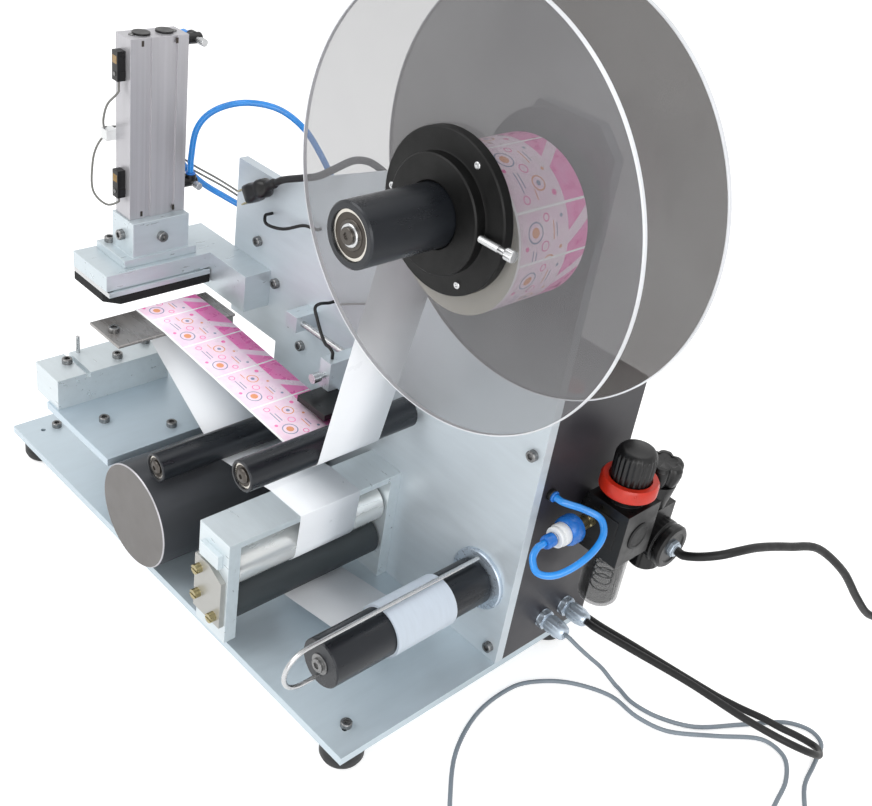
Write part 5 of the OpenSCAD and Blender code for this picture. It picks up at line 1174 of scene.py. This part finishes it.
def air_unit():
    f = Form()
    f.cad("filter_regulator", "plastic")
    for side in (-1, 1):
        f.block((REG_X - 14, REG_Y + side * 22.3 - 0.4, REG_LOW + 14),
            (REG_X + 14, REG_Y + side * 22.3 + 0.4, REG_HIGH - 10), "soft_black")
    f.solid((REG_X + 22, REG_Y, REG_LOW + 26), X, [(13, 0), (13, 0.8), (11.6, 1.6), (10, 1.6), (9.4, 1)],
        "soft_black", 64)
    f.look("filter_regulator", 2.2, segments=3)
    f = Form()
    base = (REG_X, REG_Y, REG_HIGH + 8.3)
    f.solid(base, Z, [(23.6, 0), (25, 1.4), (25, 10.2), (23.4, 12.7), (18.6, 12.7), (18.6, 7)],
        "lock_ring", 96)
    grip = ribs(24, 0.08)
    f.solid(base, Z, [(17.2, 6.6), (17.4, 13), (18, 14.4, grip), (18, 33, grip), (16.8, 37), (14.6, 40),
        (12.6, 41)], "plastic", 192)
    f.look("regulator_knob", 0.25)
    f = Form()
    f.block((22, 280, VALVE_LOW), (46, 326, 152), "plastic")
    f.solid((REG_X, VALVE_Y, 152), Z, [(12, 0), (12.4, 3), (16, 23), (16, 24.7)], "plastic", 72)
    f.solid((42, VALVE_Y, 88), Z, [(5, 0), (5, 1.2), (12, 1.2), (15, 4.2), (15, 20, ribs(20, 0.03)),
        (15, 31, ribs(20, 0.03)), (15, 34.5)], "plastic", 120)
    f.solid(COUPLER, X, [(19.6, 0), (21, 1.4), (21, 4, ribs(24, 0.03)), (21, 15, ribs(24, 0.03)),
        (21, 17), (19.6, 18), (19.6, 20), (21, 21), (21, 26.6), (19, 28.5), (15, 28.5), (14, 27.3)],
        "plastic", 144)
    f.solid((COUPLER[0] + 27, COUPLER[1], COUPLER[2]), X, [(8, 0, HEX), (8, 3.6, HEX), (6.5, 4),
        (6.5, 5.3), (5, 5.5)], "nickel", 72)
    f.look("inlet_valve", 1.1, segments=3)
    f = Form()
    lobe = notches(6, 0.2, 0.2)
    f.turn((REG_X, VALVE_Y, VALVE_KNOB_Z), Z, [(0, 0), (15.6, 0, lobe), (17.6, 5, lobe),
        (18.9, 12, lobe), (18.6, 17, lobe), (16.4, 19.6, lobe), (12.6, 20, lobe), (11, 19), (0, 18.6)],
        "plastic", 144)
    f.look("valve_knob", 0.5)
    f = Form()
    h = BOWL_LEN
    f.turn((REG_X, REG_Y, REG_LOW - h), Z, [(0, 0), (9, 0), (11.8, 0.8), (16, 4), (17.6, 6.6), (18, 9),
        (18, h), (16, h), (16, 9.6), (14.5, 6), (9, 2.2), (0, 2)], "bowl", 96)
    f.look("bowl", 0)
    steps, count = 24, 24 * SPRING_TURNS
    spiral = [(REG_X + 9 * cos(2 * pi * k / steps), REG_Y + 9 * sin(2 * pi * k / steps),
        REG_LOW - 0.7 - SPRING_LEN * k / count) for k in range(count + 1)]
    Form().tube(spiral, 0.7, "steel", 10, 1).look("bowl_spring", 0)


air_unit()

# Floor, lamps and world

FLOOR_HALF, FLOOR_DROP = 12.0, 0.0005
FLOOR_GLOW, LIGHT_ON_OBJECT = 0.55, 0.7


def add_floor():
    """A pale floor that shows as white and keeps the object's shadow."""
    bm = bmesh.new()
    bmesh.ops.create_grid(bm, x_segments=8, y_segments=8, size=FLOOR_HALF)
    mesh = bpy.data.meshes.new("floor")
    bm.to_mesh(mesh)
    bm.free()
    floor = add_object("floor", mesh)
    floor.location.z = -FLOOR_DROP
    mat = bpy.data.materials.new("floor")
    n = Nodes(mat)
    n.tree.nodes.clear()
    diffuse = n.node("BsdfDiffuse", {"Color": (0.8, 0.8, 0.8, 1)})
    glow = n.node("Emission", {"Strength": n.span(n.seen_directly(), 0.0, FLOOR_GLOW, 0, 1)})
    both = n.node("AddShader", {0: diffuse, 1: glow})
    n.fill(n.tree.nodes.new("ShaderNodeOutputMaterial").inputs, {"Surface": both})
    mesh.materials.append(mat)


def add_lamp(name, place, aim, size, power):
    """A round soft lamp at a place, in metres, turned to its aim."""
    data = bpy.data.lights.new(name, "AREA")
    data.shape = "DISK"
    data.size = size
    data.energy = power
    lamp = add_object(name, data)
    lamp.location = place
    lamp.rotation_euler = (Vector(aim) - Vector(place)).to_track_quat("-Z", "Y").to_euler()


def add_world():
    world = bpy.data.worlds.new("world")
    bpy.context.scene.world = world
    n = Nodes(world)
    n.fill(n.tree.nodes["Background"].inputs, {"Color": (1, 1, 1, 1),
        "Strength": n.span(n.seen_directly(), LIGHT_ON_OBJECT, 1.0, 0, 1)})


add_floor()
add_lamp("key", (-0.9, -1.5, 2.0), (0.0, 0.0, 0.2), 1.8, 22)
add_lamp("fill", (1.6, -0.9, 1.1), (0.0, 0.0, 0.2), 1.4, 12)
add_lamp("front", (1.5, -1.9, 0.8), (-0.1, 0.0, 0.2), 1.4, 9)
add_lamp("top", (0.1, 0.9, 2.2), (0.0, 0.0, 0.2), 1.6, 6)
add_world()
bpy.context.scene.view_settings.view_transform = "Standard"
